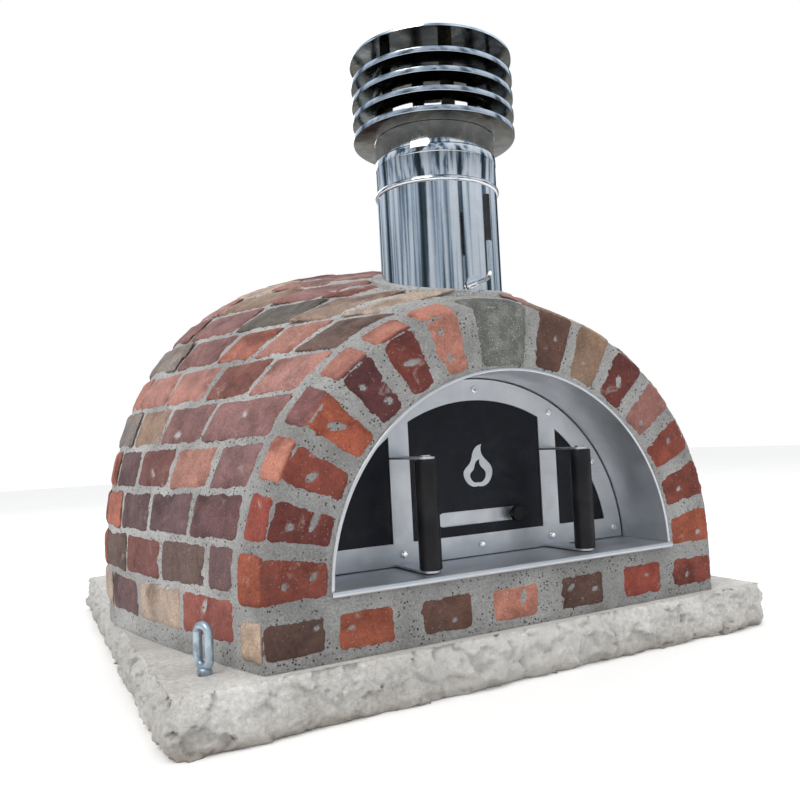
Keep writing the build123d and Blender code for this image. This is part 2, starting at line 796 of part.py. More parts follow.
def build_cap():
    """Stacked-ring cowl: lipped rings and a lid on upright straps."""
    for i in range(cap_rings):
        z = cap_start + i * cap_pitch
        ring = turned([(cap_bore, z), (cap_radius, z), (cap_radius, z + cap_lip),
                       (cap_radius - cap_sheet, z + cap_lip), (cap_radius - cap_sheet, z + cap_sheet),
                       (cap_bore, z + cap_sheet)])
        save(ring, f"cap_ring_{i + 1}")
    top = cap_top_height
    lid = turned([(0, top - cap_sheet), (cap_radius - cap_sheet, top - cap_sheet),
                  (cap_radius - cap_sheet, top - cap_top_lip), (cap_radius, top - cap_top_lip),
                  (cap_radius, top), (0, top)])
    save(lid, "cap_lid")

    inside = flue_radius - pipe_sheet
    strap_ring = tube(cap_bore, inside, slab_thickness + cap_start,
                      slab_thickness + top - cap_sheet)
    straps = []
    for i in range(strut_count):
        turn = Pos(mouth_offset, flue_y, 0) * Rot(0, 0, 360 * i / strut_count + strut_turn)
        sector = turn * box(0, cap_radius, -strut_width / 2, strut_width / 2, slab_thickness, big)
        z = slab_thickness + cap_start + cap_rings * cap_pitch
        rivet = turn * rod((inside - rivet_inside, 0, z), (cap_bore + rivet_proud, 0, z), rivet_radius)
        straps.append(((strap_ring & sector) + rivet).solids()[0])
    save(straps, "cap_straps")
    foot = slab_thickness + cap_start - spigot_depth
    save(tube(inside, inside - spigot_sheet, foot, slab_thickness + cap_start + spigot_rise), "cap_spigot")


# ---- door -------------------------------------------------------------------------------------

def door_depth():
    """Thickness of the door from frame to back plate."""
    return frame_sheet + panel_sheet + core_thickness + back_sheet


def door_layer(inset, y0, depth):
    """One arched layer of the door."""
    radius = mouth_radius - door_clearance - inset
    return half_disc(radius, door_y + y0, door_y + y0 + depth, sill_z + door_floor_gap + inset)


def bolt_places():
    """Door bolts: along the arched band, and along the bottom band."""
    middle = mouth_radius - door_clearance - frame_band / 2
    places = [(middle * math.cos(math.radians(a)), middle * math.sin(math.radians(a)))
              for a in bolt_angles]
    low = sill_rise + door_floor_gap + frame_band / 2
    ends = math.sqrt(middle ** 2 - low ** 2)
    return places + [(x, low) for x in (-ends, -bar_spacing / 2, 0, bar_spacing / 2, ends)]


def along_y(x, z, y0, y1, radius):
    """A round bar running front to back, placed from the arch's centre."""
    return rod((mouth_offset + x, y0, arch_z + z), (mouth_offset + x, y1, arch_z + z), radius)


def vent_slot(y0, y1):
    """The round-ended opening of the air vent."""
    plane = Plane(origin=(mouth_offset, y1, arch_z + slot_rise), x_dir=(1, 0, 0), z_dir=(0, -1, 0))
    return extrude(plane * SlotOverall(slot_length, slot_height), y1 - y0)


def tab_plate(x, z):
    """A handle tab: as wide as the bar at its root, round at its tip."""
    tip = door_y - grip_standoff
    x = mouth_offset + x
    half = frame_band / 2
    blade = make_face(Polyline((x - half, door_y), (x + half, door_y), (x + tab_end_radius, tip),
                               (x - tab_end_radius, tip), close=True))
    outline = blade + Pos(x, tip) * Circle(tab_end_radius)
    hole = rod((x, tip, z - 1), (x, tip, z + tab_sheet + 1), grip_rod / 2)
    return extrude(Pos(0, 0, z) * outline, tab_sheet) - hole


def flame_outline(scale):
    """A plain flame, its foot at the origin."""
    points = [(0, 0), (0.34, 0.12), (0.40, 0.42), (0.20, 0.66), (0.14, 0.99)]
    back = [(0.14, 0.99), (-0.12, 0.78), (-0.20, 0.56), (-0.38, 0.36), (-0.30, 0.10), (0, 0)]
    right = Spline(*[(x * scale, y * scale) for x, y in points])
    left = Spline(*[(x * scale, y * scale) for x, y in back])
    return make_face([right, left])


def build_door():
    """Lift-out door: frame, dark panel, insulated core, back plate, bolts and two handles."""
    core_y = frame_sheet + panel_sheet
    depth = door_depth()
    bolts = [along_y(x, z, door_y, door_y + depth, bolt_shank / 2) for x, z in bolt_places()]

    window = door_layer(frame_band, -1, frame_sheet + 2)
    for side in (-1, 1):
        x = mouth_offset + side * bar_spacing / 2
        window -= box(x - frame_band / 2, x + frame_band / 2, door_y - 2, door_y + frame_sheet + 2, 0, big)
    save((door_layer(0, 0, frame_sheet) - window).cut(*bolts), "door_frame")
    panel = door_layer(1, frame_sheet, panel_sheet) - vent_slot(door_y, door_y + core_y + 1)
    save(panel.cut(*bolts), "door_panel")

    half_plate = vent_plate_height / 2 + vent_clearance + rail_width
    end = slot_length / 2 + vent_overlap
    channel = vent_sheet + 2 * vent_clearance
    groove = box(mouth_offset - end - vent_travel() - 2, mouth_offset + end + 2, door_y + core_y,
                 door_y + core_y + channel, arch_z + slot_rise - half_plate, arch_z + slot_rise + half_plate)
    duct = vent_slot(door_y + core_y - 1, door_y + depth + 1)
    core = door_layer(frame_band + core_gap, core_y, core_thickness) - groove - duct
    save(core, "door_core")
    rim = door_layer(1, core_y, core_thickness) - door_layer(1 + rim_sheet, core_y - 1, core_thickness + 2)
    back = door_layer(1, core_y + core_thickness, back_sheet) - duct
    save((rim + back).cut(*bolts), "door_back_tray")

    rails = []
    for side in (-1, 1):
        edge = arch_z + slot_rise + side * (vent_plate_height / 2 + vent_clearance)
        z0, z1 = sorted((edge, edge + side * rail_width))
        rails.append(box(mouth_offset - end - vent_travel() - 2, mouth_offset + end + 2, door_y + core_y,
                         door_y + core_y + channel, z0, z1))
    save(rails, "vent_rails")

    heads, nuts = [], []
    for (x, z), shank in zip(bolt_places(), bolts):
        head = along_y(x, z, door_y - bolt_head_height, door_y, bolt_head_radius)
        head = fillet(head.faces().sort_by(Axis.Y)[0].edges(), bolt_head_height * 0.7)
        tip = along_y(x, z, door_y + depth, door_y + depth + bolt_tip, bolt_shank / 2)
        heads.append((head + shank + tip).solids()[0])
        plane = Plane(origin=(mouth_offset + x, door_y + depth, arch_z + z), z_dir=(0, 1, 0))
        nut = extrude(plane * RegularPolygon(nut_radius, 6), nut_height)
        nuts.append(nut - tip)
    save(heads, "door_bolts")
    save(nuts, "door_nuts")

    tip = door_y - grip_standoff
    low = sill_z + tab_lift
    top = low + 2 * tab_sheet + grip_length
    tabs, grips, pins = [], [], []
    for side in (-1, 1):
        tabs += [tab_plate(side * bar_spacing / 2, z) for z in (low, top - tab_sheet)]
        x = mouth_offset + side * bar_spacing / 2
        grip = rod((x, tip, low + tab_sheet), (x, tip, top - tab_sheet), grip_radius)
        grip = fillet(grip.edges().filter_by(GeomType.CIRCLE), grip_edge)
        pin = rod((x, tip, low), (x, tip, top), grip_rod / 2)
        grips.append(grip - pin)
        pins.append(pin + rod((x, tip, top), (x, tip, top + grip_head_height), grip_head_radius))
    save(tabs, "handle_tabs")
    save(grips, "handle_grips")
    save(pins, "grip_bolts")

    plane = Plane(origin=(mouth_offset, door_y + frame_sheet, arch_z + emblem_rise - emblem_size / 2),
                  x_dir=(1, 0, 0), z_dir=(0, -1, 0))
    inner_flame = Pos(0, emblem_size * emblem_inner_rise) * flame_outline(emblem_size * emblem_inner)
    save(extrude(plane * (flame_outline(emblem_size) - inner_flame), emblem_sheet), "door_emblem")


def vent_travel():
    """How far the vent's knob can run along its slot."""
    return slot_length - 2 * (knob_neck + knob_end_room)


def build_vent():
    """Sliding air vent: a plate between rails, moved by a knob through the slot."""
    half = slot_length / 2 + vent_overlap
    y0 = door_y + frame_sheet + panel_sheet + vent_clearance
    z = arch_z + slot_rise
    plate = box(mouth_offset - half, mouth_offset + half, y0, y0 + vent_sheet,
                z - vent_plate_height / 2, z + vent_plate_height / 2)
    x = vent_travel() / 2
    knob = along_y(x, slot_rise, door_y - knob_gap - knob_length, door_y - knob_gap, knob_radius)
    knob = fillet(knob.edges().filter_by(GeomType.CIRCLE), knob_edge)
    knob += along_y(x, slot_rise, door_y - knob_gap, y0, knob_neck)
    tip = along_y(x, slot_rise, y0, y0 + vent_sheet, knob_screw_radius)
    save(plate - tip, "vent_plate")
    save(knob + tip, "vent_knob")


os.makedirs("parts", exist_ok=True)
build_slab()
build_masonry()
build_lining()
build_flue()
build_damper()
build_cap()
build_door()
build_vent()
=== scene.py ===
import json
import math
import random

import bmesh
import bpy
import numpy as np
from mathutils import Matrix, Vector, noise


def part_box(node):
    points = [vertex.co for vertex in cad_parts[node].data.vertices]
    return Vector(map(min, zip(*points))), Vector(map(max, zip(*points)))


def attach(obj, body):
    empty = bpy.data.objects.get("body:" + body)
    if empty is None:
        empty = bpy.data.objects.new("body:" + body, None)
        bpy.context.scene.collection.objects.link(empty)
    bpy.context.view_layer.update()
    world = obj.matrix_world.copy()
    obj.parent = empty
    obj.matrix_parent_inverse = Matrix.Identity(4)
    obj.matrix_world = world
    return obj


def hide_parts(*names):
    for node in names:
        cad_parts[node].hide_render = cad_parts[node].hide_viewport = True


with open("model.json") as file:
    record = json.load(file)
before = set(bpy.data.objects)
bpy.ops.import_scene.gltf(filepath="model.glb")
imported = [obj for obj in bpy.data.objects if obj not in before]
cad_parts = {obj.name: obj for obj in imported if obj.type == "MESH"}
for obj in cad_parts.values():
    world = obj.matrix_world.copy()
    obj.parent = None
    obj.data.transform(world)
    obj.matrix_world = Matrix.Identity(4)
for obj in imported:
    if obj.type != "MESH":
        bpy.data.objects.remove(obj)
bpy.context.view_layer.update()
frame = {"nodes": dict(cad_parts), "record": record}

scene = bpy.context.scene
nodes = frame["nodes"]
body_of = {n: body for body, names in frame["record"]["behaviour"]["bodies"].items() for n in names}
slot_of = {s["node"]: s["material_slot"] for s in frame["record"]["subparts"]}

# ---- sizes of the oven's form, in metres ---------------------

slab_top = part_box("stone_slab")[1].z
front_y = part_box("front_wall_mortar")[0].y
mouth_x = 0.010                # the mouth's and the flue's centre line
springing = 0.082              # height of the arch's centre above the slab
arch_radius = 0.380            # outer radius of the front wall's arch
mouth_radius = 0.289
sill_height = 0.0885           # underside of the sill tray above the slab
dome_radius = 0.494
dome_height = 0.602
dome_upright = 0.060           # upright part of the dome's wall
set_back = 0.480               # from the front wall to the dome's axis
squareness = 2.37
flare = 1.4
flue_y = -0.315
flue_hole = 0.099              # radius of the hole in the mortar's skin round the flue
dome_y = front_y + set_back


# ---- camera, lights and floor --------------------------------

def make_camera():
    """The main view: from the front left, low down and a little rolled."""
    place = (-0.6227, -1.4379, 0.3461)
    yaw, pitch, roll = (math.radians(a) for a in (28.58, 1.38, -3.02))
    forward = Vector((math.sin(yaw) * math.cos(pitch), math.cos(yaw) * math.cos(pitch), math.sin(pitch)))
    right = Vector((math.cos(yaw), -math.sin(yaw), 0))
    up = right.cross(forward)
    across = right * math.cos(roll) + up * math.sin(roll)
    upward = up * math.cos(roll) - right * math.sin(roll)
    data = bpy.data.cameras.new("camera")
    data.sensor_width = 36
    data.lens = 34.72
    data.shift_x = -0.0474
    data.shift_y = 0.0262
    data.clip_start = 0.05
    data.clip_end = 60
    camera = bpy.data.objects.new("camera", data)
    turn = Matrix((across, upward, -forward)).transposed()
    camera.matrix_world = Matrix.Translation(place) @ turn.to_4x4()
    scene.collection.objects.link(camera)
    scene.camera = camera


def area_light(name, place, target, size, power, colour=(1, 1, 1)):
    """A soft square light that looks at a point."""
    data = bpy.data.lights.new(name, "AREA")
    data.shape = "RECTANGLE"
    data.size, data.size_y = size
    data.energy = power
    data.color = colour
    light = bpy.data.objects.new(name, data)
    light.location = place
    light.rotation_euler = (Vector(target) - Vector(place)).to_track_quat("-Z", "Y").to_euler()
    scene.collection.objects.link(light)
    return light


def make_lights():
    """A bright even room with one large soft light from the left; metal mirrors a banded room."""
    scene.world = bpy.data.worlds.new("studio")
    scene.world.use_nodes = True
    n = Tree(scene.world.node_tree, "Generated")
    background = n.new("ShaderNodeBackground")
    n.link(background.outputs[0], n.new("ShaderNodeOutputWorld").inputs[0])
    height = n.along("Z")
    even = n.ramp(height, [(0.0, 0.55), (1.0, 1.08), (0.5, 1.05)])
    bands = n.noise(3.6, 5, 0.62, at=n.stretched((1, 1, 0.22)))
    panels = n.ramp(bands, [(0.41, (0.03, 0.045, 0.055)), (0.57, (0.86, 0.93, 1.0)),
                            (0.47, (0.10, 0.15, 0.19)), (0.51, (0.42, 0.53, 0.66))])
    shaded = n.times(panels, n.ramp(height, [(0.0, 0.5), (0.6, 1.15)]))
    path = n.new("ShaderNodeLightPath")
    room = n.mix(path.outputs["Is Glossy Ray"], even, shaded)
    n.link(n.mix(path.outputs["Is Camera Ray"], room, (1.0, 1.0, 1.0)), background.inputs[0])
    scene.view_settings.view_transform = "Standard"
    area_light("key", (-2.2, -1.6, 3.0), (0, -0.1, 0.35), (1.8, 1.8), 60, (1.0, 0.985, 0.96))
    fill = area_light("fill", (2.6, -2.4, 1.6), (0, -0.1, 0.4), (1.6, 2.2), 26, (0.96, 0.98, 1.0))
    fill.visible_glossy = False
    area_light("back", (0.6, 2.8, 2.6), (0, 0, 0.5), (2.4, 1.6), 30)


# ---- materials -----------------------------------------------

class Tree:
    """A short way to write a node tree."""

    def __init__(self, tree, coordinate="Object"):
        self.tree = tree
        tree.nodes.clear()
        self.place = self.new("ShaderNodeTexCoord").outputs[coordinate]

    def new(self, kind, **settings):
        node = self.tree.nodes.new(kind)
        for key, value in settings.items():
            setattr(node, key, value)
        return node

    def link(self, a, b):
        self.tree.links.new(a, b)

    def stretched(self, scale, offset=(0, 0, 0)):
        """The coordinate scaled along each axis."""
        node = self.new("ShaderNodeMapping")
        self.link(self.place, node.inputs[0])
        node.inputs["Scale"].default_value = scale
        node.inputs["Location"].default_value = offset
        return node.outputs[0]

    def along(self, axis, vector=None):
        """One coordinate of the place, or of another vector."""
        node = self.new("ShaderNodeSeparateXYZ")
        self.link(vector or self.place, node.inputs[0])
        return node.outputs[axis]

    def shifted(self, *offset):
        """The coordinate moved, so that two patterns don't fall together."""
        return self.stretched((1, 1, 1), offset)

    def noise(self, scale, detail=4.0, rough=0.55, at=None, warp=0.0):
        node = self.new("ShaderNodeTexNoise")
        self.link(at or self.place, node.inputs["Vector"])
        node.inputs["Scale"].default_value = scale
        node.inputs["Detail"].default_value = detail
        node.inputs["Roughness"].default_value = rough
        node.inputs["Distortion"].default_value = warp
        return node.outputs["Fac"]

    def cells(self, scale, output="Distance", at=None):
        node = self.new("ShaderNodeTexVoronoi")
        self.link(at or self.place, node.inputs["Vector"])
        node.inputs["Scale"].default_value = scale
        return node.outputs[output]

    def specks(self, base, colour, share, scale, inner, outer, at=None):
        """Spots of a colour over the base, one in each cell, that fade out between two distances."""
        spots = self.ramp(self.cells(scale, at=at), [(inner, 1.0), (outer, 0.0)])
        return self.mix(self.math("MULTIPLY", spots, share), base, colour)

    def ramp(self, value, stops):
        node = self.new("ShaderNodeValToRGB")
        ramp = node.color_ramp
        for i, (place, colour) in enumerate(stops):
            colour = (colour,) * 3 if isinstance(colour, (int, float)) else colour
            stop = ramp.elements[i] if i < 2 else ramp.elements.new(place)
            stop.position = place
            stop.color = (*colour, 1)
        self.link(value, node.inputs[0])
        return node.outputs[0]

    def mix(self, factor, a, b, blend="MIX"):
        node = self.new("ShaderNodeMix", data_type="RGBA", blend_type=blend)
        for value, socket in ((factor, node.inputs[0]), (a, node.inputs[6]), (b, node.inputs[7])):
            if isinstance(value, (int, float)):
                socket.default_value = value
            elif isinstance(value, tuple):
                socket.default_value = (*value, 1)
            else:
                self.link(value, socket)
        return node.outputs[2]

    def times(self, a, b):
        return self.mix(1.0, a, b, "MULTIPLY")

    def math(self, operation, a, b=0.0, clamp=False):
        node = self.new("ShaderNodeMath", operation=operation, use_clamp=clamp)
        for value, socket in ((a, node.inputs[0]), (b, node.inputs[1])):
            if isinstance(value, (int, float)):
                socket.default_value = value
            else:
                self.link(value, socket)
        return node.outputs[0]


class Nodes(Tree):
    """The node tree of one material."""

    def __init__(self, name):
        self.material = bpy.data.materials.new(name)
        self.material.use_nodes = True
        super().__init__(self.material.node_tree)
        self.shader = self.new("ShaderNodeBsdfPrincipled")
        self.link(self.shader.outputs[0], self.new("ShaderNodeOutputMaterial").inputs[0])

    def set(self, name, value):
        socket = self.shader.inputs[name]
        if isinstance(value, (int, float)):
            socket.default_value = value
        else:
            self.link(value, socket)

    def dull(self, scale, detail, low, high, rough=0.55):
        """Roughness that wanders between two values."""
        self.set("Roughness", self.ramp(self.noise(scale, detail, rough), [(0.3, low), (0.7, high)]))

    def bump(self, height, distance, strength=1.0):
        node = self.new("ShaderNodeBump")
        node.inputs["Strength"].default_value = strength
        node.inputs["Distance"].default_value = distance
        self.link(height, node.inputs["Height"])
        before = self.shader.inputs["Normal"].links
        if before:
            self.link(before[0].from_socket, node.inputs["Normal"])
        self.set("Normal", node.outputs[0])


def mortar_colour(n):
    """Pale grey mortar with black and white grit."""
    base = n.ramp(n.noise(9, 5, 0.6), [(0.30, (0.25, 0.25, 0.245)), (0.52, (0.39, 0.39, 0.385)),
                                       (0.72, (0.51, 0.51, 0.50))])
    fine = n.ramp(n.noise(420, 3, 0.7), [(0.35, 0.72), (0.65, 1.12)])
    base = n.times(base, fine)
    some = n.ramp(n.noise(48, 3, 0.6), [(0.44, 0.0), (0.55, 1.0)])
    base = n.specks(base, (0.045, 0.042, 0.040), some, 180, 0.22, 0.30)
    base = n.specks(base, (0.66, 0.65, 0.62), 0.35, 190, 0.13, 0.20, n.shifted(3.1, 1.7, 0.4))
    lift = n.ramp(n.math("ADD", n.along("Y"), 0.55), [(0.045, 0.88), (0.15, 1.30)])
    return n.times(base, lift)


def make_mortar():
    """Rough, pitted mortar."""
    n = Nodes("mortar")
    n.set("Base Color", mortar_colour(n))
    n.dull(120, 3, 0.80, 0.97)
    n.bump(n.noise(60, 9, 0.80), 0.0075)
    n.bump(n.cells(230), 0.0018, 0.9)
    return n.material


def make_brick():
    """Old red brick: each brick's own colour with mottling, flecks, scuffs and a film of mortar."""
    n = Nodes("brick")
    tint = n.new("ShaderNodeVertexColor", layer_name="tint")
    colour = tint.outputs["Color"]
    shade = n.ramp(n.noise(26, 6, 0.65, warp=0.6), [(0.28, 0.60), (0.50, 0.96), (0.74, 1.28)])
    colour = n.times(colour, shade)
    fine = n.ramp(n.noise(330, 4, 0.7), [(0.32, 0.70), (0.68, 1.26)])
    colour = n.times(colour, fine)
    burnt = n.ramp(n.noise(15, 4, 0.6, at=n.shifted(5, 2, 1)), [(0.52, 0.0), (0.68, 0.75)])
    colour = n.mix(burnt, colour, n.times(colour, (0.42, 0.34, 0.34)))
    orange = n.ramp(n.noise(19, 5, 0.6, at=n.shifted(9, 4, 7)), [(0.55, 0.0), (0.72, 0.55)])
    colour = n.mix(orange, colour, n.times(colour, (1.28, 1.12, 0.92)))
    colour = n.specks(colour, (0.06, 0.035, 0.03), 0.6, 230, 0.10, 0.17)
    colour = n.specks(colour, (0.50, 0.45, 0.40), 0.35, 140, 0.08, 0.13, n.shifted(1.3, 6.1, 2.2))
    film = n.ramp(n.noise(34, 7, 0.72, warp=0.8, at=n.shifted(2, 8, 3)),
                  [(0.60, 0.0), (0.68, 0.22), (0.78, 0.6)])
    colour = n.mix(film, colour, (0.56, 0.52, 0.48))
    filled = n.math("SUBTRACT", 1.0, tint.outputs["Alpha"], clamp=True)
    colour = n.mix(filled, colour, mortar_colour(n))
    n.set("Base Color", colour)
    n.dull(70, 4, 0.66, 0.92)
    n.set("Specular IOR Level", 0.35)
    n.bump(n.noise(75, 8, 0.7), 0.0022)
    n.bump(n.noise(420, 3, 0.7), 0.0005)
    n.bump(n.ramp(n.cells(230), [(0.0, 0.0), (0.18, 1.0)]), 0.0008)
    return n.material


def make_granite():
    """Grey-green speckled granite."""
    n = Nodes("granite")
    base = n.ramp(n.noise(45, 6, 0.7), [(0.30, (0.050, 0.054, 0.048)), (0.52, (0.105, 0.110, 0.098)),
                                        (0.72, (0.20, 0.205, 0.185))])
    base = n.specks(base, (0.42, 0.42, 0.37), 0.7, 330, 0.16, 0.25)
    base = n.specks(base, (0.025, 0.03, 0.025), 0.8, 260, 0.15, 0.24, n.shifted(4, 4, 1))
    n.set("Base Color", base)
    n.dull(90, 4, 0.62, 0.88)
    n.bump(n.noise(90, 7, 0.7), 0.0022)
    return n.material


def make_slab_stone():
    """Pale limestone, smooth and sawn on top, broken and brown-stained on the edges, painted darker
    towards the bottom as shade, with the sides painted darker and the top lighter as painted light.
    """
    n = Nodes("slab_stone")
    base = n.ramp(n.noise(7, 8, 0.65, warp=0.4), [(0.30, (0.40, 0.39, 0.37)), (0.50, (0.54, 0.53, 0.51)),
                                                  (0.70, (0.66, 0.655, 0.64))])
    fine = n.ramp(n.noise(160, 5, 0.75), [(0.32, 0.74), (0.68, 1.18)])
    base = n.times(base, fine)
    vein = n.ramp(n.noise(22, 6, 0.7, at=n.stretched((1, 1, 3), (7, 1, 2)), warp=1.2),
                  [(0.58, 0.0), (0.72, 0.45)])
    base = n.mix(vein, base, (0.46, 0.38, 0.29))
    low = n.math("MULTIPLY", n.along("Z"), 1 / slab_top)
    ragged = n.math("ADD", low, n.math("MULTIPLY", n.noise(17, 5, 0.7), 0.75))
    # real brown stains, and painted shade: the colour darkens towards the bottom of the slab
    stain_and_shade = n.ramp(ragged, [(0.40, 0.62), (0.60, 0.22), (0.90, 0.0)])
    base = n.mix(stain_and_shade, base, (0.25, 0.21, 0.165))
    # painted shade and painted highlight: the sides are darker, the top and its upper edge lighter
    side = n.ramp(low, [(0.90, 0.92), (0.985, 1.04)])
    base = n.times(base, side)
    around = n.new("ShaderNodeVectorMath", operation="LENGTH")
    n.link(n.stretched((1, 1, 0), (0, -dome_y, 0)), around.inputs[0])
    reach = n.math("ADD", around.outputs["Value"], n.math("MULTIPLY", n.noise(14, 5, 0.6), 0.09))
    wash = n.ramp(reach, [(0.535, 0.7), (0.60, 0.0)])
    base = n.mix(wash, base, (0.44, 0.43, 0.41))
    some = n.ramp(n.noise(30, 2), [(0.46, 0.0), (0.56, 0.8)])
    base = n.specks(base, (0.20, 0.18, 0.15), some, 210, 0.10, 0.18)
    n.set("Base Color", base)
    n.dull(80, 4, 0.74, 0.93)
    n.bump(n.noise(55, 9, 0.72), 0.0028)
    n.bump(n.noise(240, 4, 0.7), 0.0006)
    return n.material


def make_cast(name, dark, pale, speck, grain):
    """A cast or pressed mineral surface with fine grain and small voids."""
    n = Nodes(name)
    base = n.ramp(n.noise(12, 6, 0.6), [(0.30, dark), (0.70, pale)])
    fine = n.ramp(n.noise(grain * 5, 4, 0.7), [(0.32, 0.82), (0.68, 1.12)])
    base = n.times(base, fine)
    base = n.specks(base, speck, 0.6, grain * 2.5, 0.10, 0.17)
    n.set("Base Color", base)
    n.dull(grain, 4, 0.78, 0.96)
    n.bump(n.noise(grain, 7, 0.7), 0.0016)
    n.bump(n.ramp(n.cells(grain * 2.5), [(0.0, 0.0), (0.17, 1.0)]), 0.0006)
    return n.material


def make_fibre():
    """A blanket of white ceramic fibre."""
    n = Nodes("ceramic_fibre")
    base = n.ramp(n.noise(16, 5, 0.6), [(0.3, (0.70, 0.69, 0.65)), (0.7, (0.86, 0.855, 0.82))])
    strands = n.noise(90, 8, 0.75, at=n.stretched((1, 6, 1)), warp=1.5)
    n.set("Base Color", n.times(base, n.ramp(strands, [(0.35, 0.78), (0.65, 1.08)])))
    n.set("Roughness", 0.95)
    n.set("Sheen Weight", 0.3)
    n.bump(strands, 0.0018)
    return n.material


def make_steel(name, colour, rough, streak_scale, streak, bump):
    """Stainless sheet. streak_scale stretches the brush marks, so a small number runs along them."""
    n = Nodes(name)
    marks = n.noise(1.0, 6, 0.7, at=n.stretched(streak_scale))
    shade = n.ramp(marks, [(0.30, 1 - streak), (0.70, 1 + streak * 0.3)])
    smudges = n.ramp(n.noise(14, 5, 0.65, warp=0.8), [(0.35, 1.0), (0.72, 0.88)])
    n.set("Base Color", n.times(n.times(colour, shade), smudges))
    n.set("Metallic", 1.0)
    worn = n.ramp(n.noise(21, 6, 0.7, warp=0.5), [(0.30, rough * 0.72), (0.70, rough * 1.45)])
    fine = n.ramp(marks, [(0.3, 0.0), (0.7, rough * 0.35)])
    n.set("Roughness", n.mix(1.0, worn, fine, "ADD"))
    n.bump(marks, bump)
    n.bump(n.noise(9, 3, 0.5), 0.00035)
    return n.material


def make_cap_steel(name, everywhere):
    """Mirror steel painted near black where it looks down, as painted shade, or dark all over."""
    n = Nodes(name)
    painted_dark = n.ramp(n.noise(17, 5, 0.65, warp=1.5), [(0.34, (0.012, 0.014, 0.012)),
                                                    (0.52, (0.040, 0.040, 0.032)),
                                                    (0.70, (0.13, 0.11, 0.085))])
    bare_steel = n.ramp(n.noise(40, 4, 0.6), [(0.3, (0.56, 0.62, 0.70)), (0.7, (0.70, 0.76, 0.84))])
    # with everywhere the part is dark all over; otherwise painted shade: near black where the surface
    # looks down, for the dark undersides of the cowl rings
    if everywhere:
        base = painted_dark
    else:
        normal = n.new("ShaderNodeNewGeometry").outputs["Normal"]
        down = n.math("MULTIPLY", n.along("Z", normal), -1.0)
        base = n.mix(n.ramp(down, [(0.3, 0.0), (0.6, 1.0)]), bare_steel, painted_dark)
    n.set("Base Color", base)
    n.set("Metallic", 1.0)
    n.dull(30, 5, 0.10, 0.26, 0.65)
    n.bump(n.noise(24, 3, 0.5), 0.0006)
    return n.material


def make_black(name, colour, rough, grain):
    """A black coating or moulding with fine grain and faint dust."""
    n = Nodes(name)
    dark, pale = (tuple(c * share for c in colour) for share in (0.7, 1.5))
    base = n.ramp(n.noise(30, 5, 0.6), [(0.3, dark), (0.7, pale)])
    dust = n.ramp(n.noise(12, 6, 0.7, warp=0.7), [(0.50, 0.0), (0.80, 0.05)])
    specks = n.ramp(n.cells(grain * 0.8), [(0.05, 0.12), (0.08, 0.0)])
    base = n.mix(dust, base, (0.30, 0.29, 0.28))
    n.set("Base Color", n.mix(specks, base, (0.28, 0.27, 0.26)))
    n.set("Specular IOR Level", 0.22)
    n.dull(45, 5, rough * 0.82, rough * 1.2, 0.65)
    n.bump(n.noise(grain, 4, 0.6), 0.00018)
    return n.material


def make_galvanised():
    """Zinc plate with its spangle and a little rust."""
    n = Nodes("galvanised")
    base = n.ramp(n.cells(120, "Color"), [(0.2, (0.27, 0.34, 0.40)), (0.8, (0.46, 0.55, 0.62))])
    rust = n.ramp(n.noise(60, 6, 0.7), [(0.60, 0.0), (0.72, 0.7)])
    base = n.mix(rust, base, (0.20, 0.14, 0.09))
    n.set("Base Color", base)
    n.set("Metallic", 0.85)
    n.dull(70, 5, 0.30, 0.55)
    n.bump(n.noise(150, 5), 0.0004)
    return n.material


def make_floor():
    """A plain pale floor."""
    n = Nodes("floor")
    n.set("Base Color", n.ramp(n.noise(2.2, 3), [(0.3, 0.91), (0.7, 0.93)]))
    n.set("Roughness", 0.9)
    return n.material


materials = {
    "brick": make_brick(),
    "granite": make_granite(),
    "slab_stone": make_slab_stone(),
    "mortar": make_mortar(),
    "ceramic_fibre": make_fibre(),
    "galvanised": make_galvanised(),
}
# cast materials: dark and pale colour, colour of the voids, grain
for name, look in {
    "refractory": ((0.42, 0.35, 0.265), (0.60, 0.52, 0.41), (0.16, 0.12, 0.09), 60),
    "fire_tile": ((0.56, 0.45, 0.31), (0.72, 0.61, 0.45), (0.24, 0.17, 0.11), 80),
    "insulation_board": ((0.66, 0.65, 0.61), (0.78, 0.77, 0.73), (0.4, 0.39, 0.36), 60),
}.items():
    materials[name] = make_cast(name, *look)
# steels: colour, roughness, scale of the brush marks, their strength and depth
for name, look in {
    "brushed_stainless": ((0.66, 0.675, 0.70), 0.36, (9, 420, 420), 0.07, 0.00002),
    "polished_stainless": ((0.74, 0.76, 0.79), 0.055, (160, 160, 5), 0.10, 0.00003),
    "fastener_steel": ((0.86, 0.87, 0.88), 0.09, (90, 90, 90), 0.12, 0.00002),
}.items():
    materials[name] = make_steel(name, *look)
# blacks: colour, roughness, grain
for name, look in {
    "black_panel": ((0.004, 0.005, 0.009), 0.36, 420),
    "black_grip": ((0.005, 0.005, 0.006), 0.40, 520),
    "black_sleeve": ((0.016, 0.016, 0.017), 0.6, 700),
}.items():
    materials[name] = make_black(name, *look)
# the first is painted near black as shade where it looks down; the second is dark all over
cap_steel = make_cap_steel("cap_steel", False)
dark_steel = make_cap_steel("dark_steel", True)


# ---- mesh helpers --------------------------------------------

def rough(p, scale, octaves=3, seed=0.0):
    """Fractal noise of about -1 to 1 at a point, with features 1/scale metres across."""
    q = Vector((p[0] * scale + seed, p[1] * scale - seed * 1.7, p[2] * scale + seed * 0.6))
    return noise.fractal(q, 0.9, 2.1, octaves)


def make_object(name, points, faces, body, slot, material=None):
    """A new smooth piece from points and faces, riding on a body."""
    mesh = bpy.data.meshes.new(name)
    mesh.from_pydata([tuple(p) for p in points], [], faces)
    mesh.validate()
    mesh.shade_smooth()
    mesh.materials.append(material or materials[slot])
    piece = bpy.data.objects.new(name, mesh)
    scene.collection.objects.link(piece)
    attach(piece, body)
    return piece


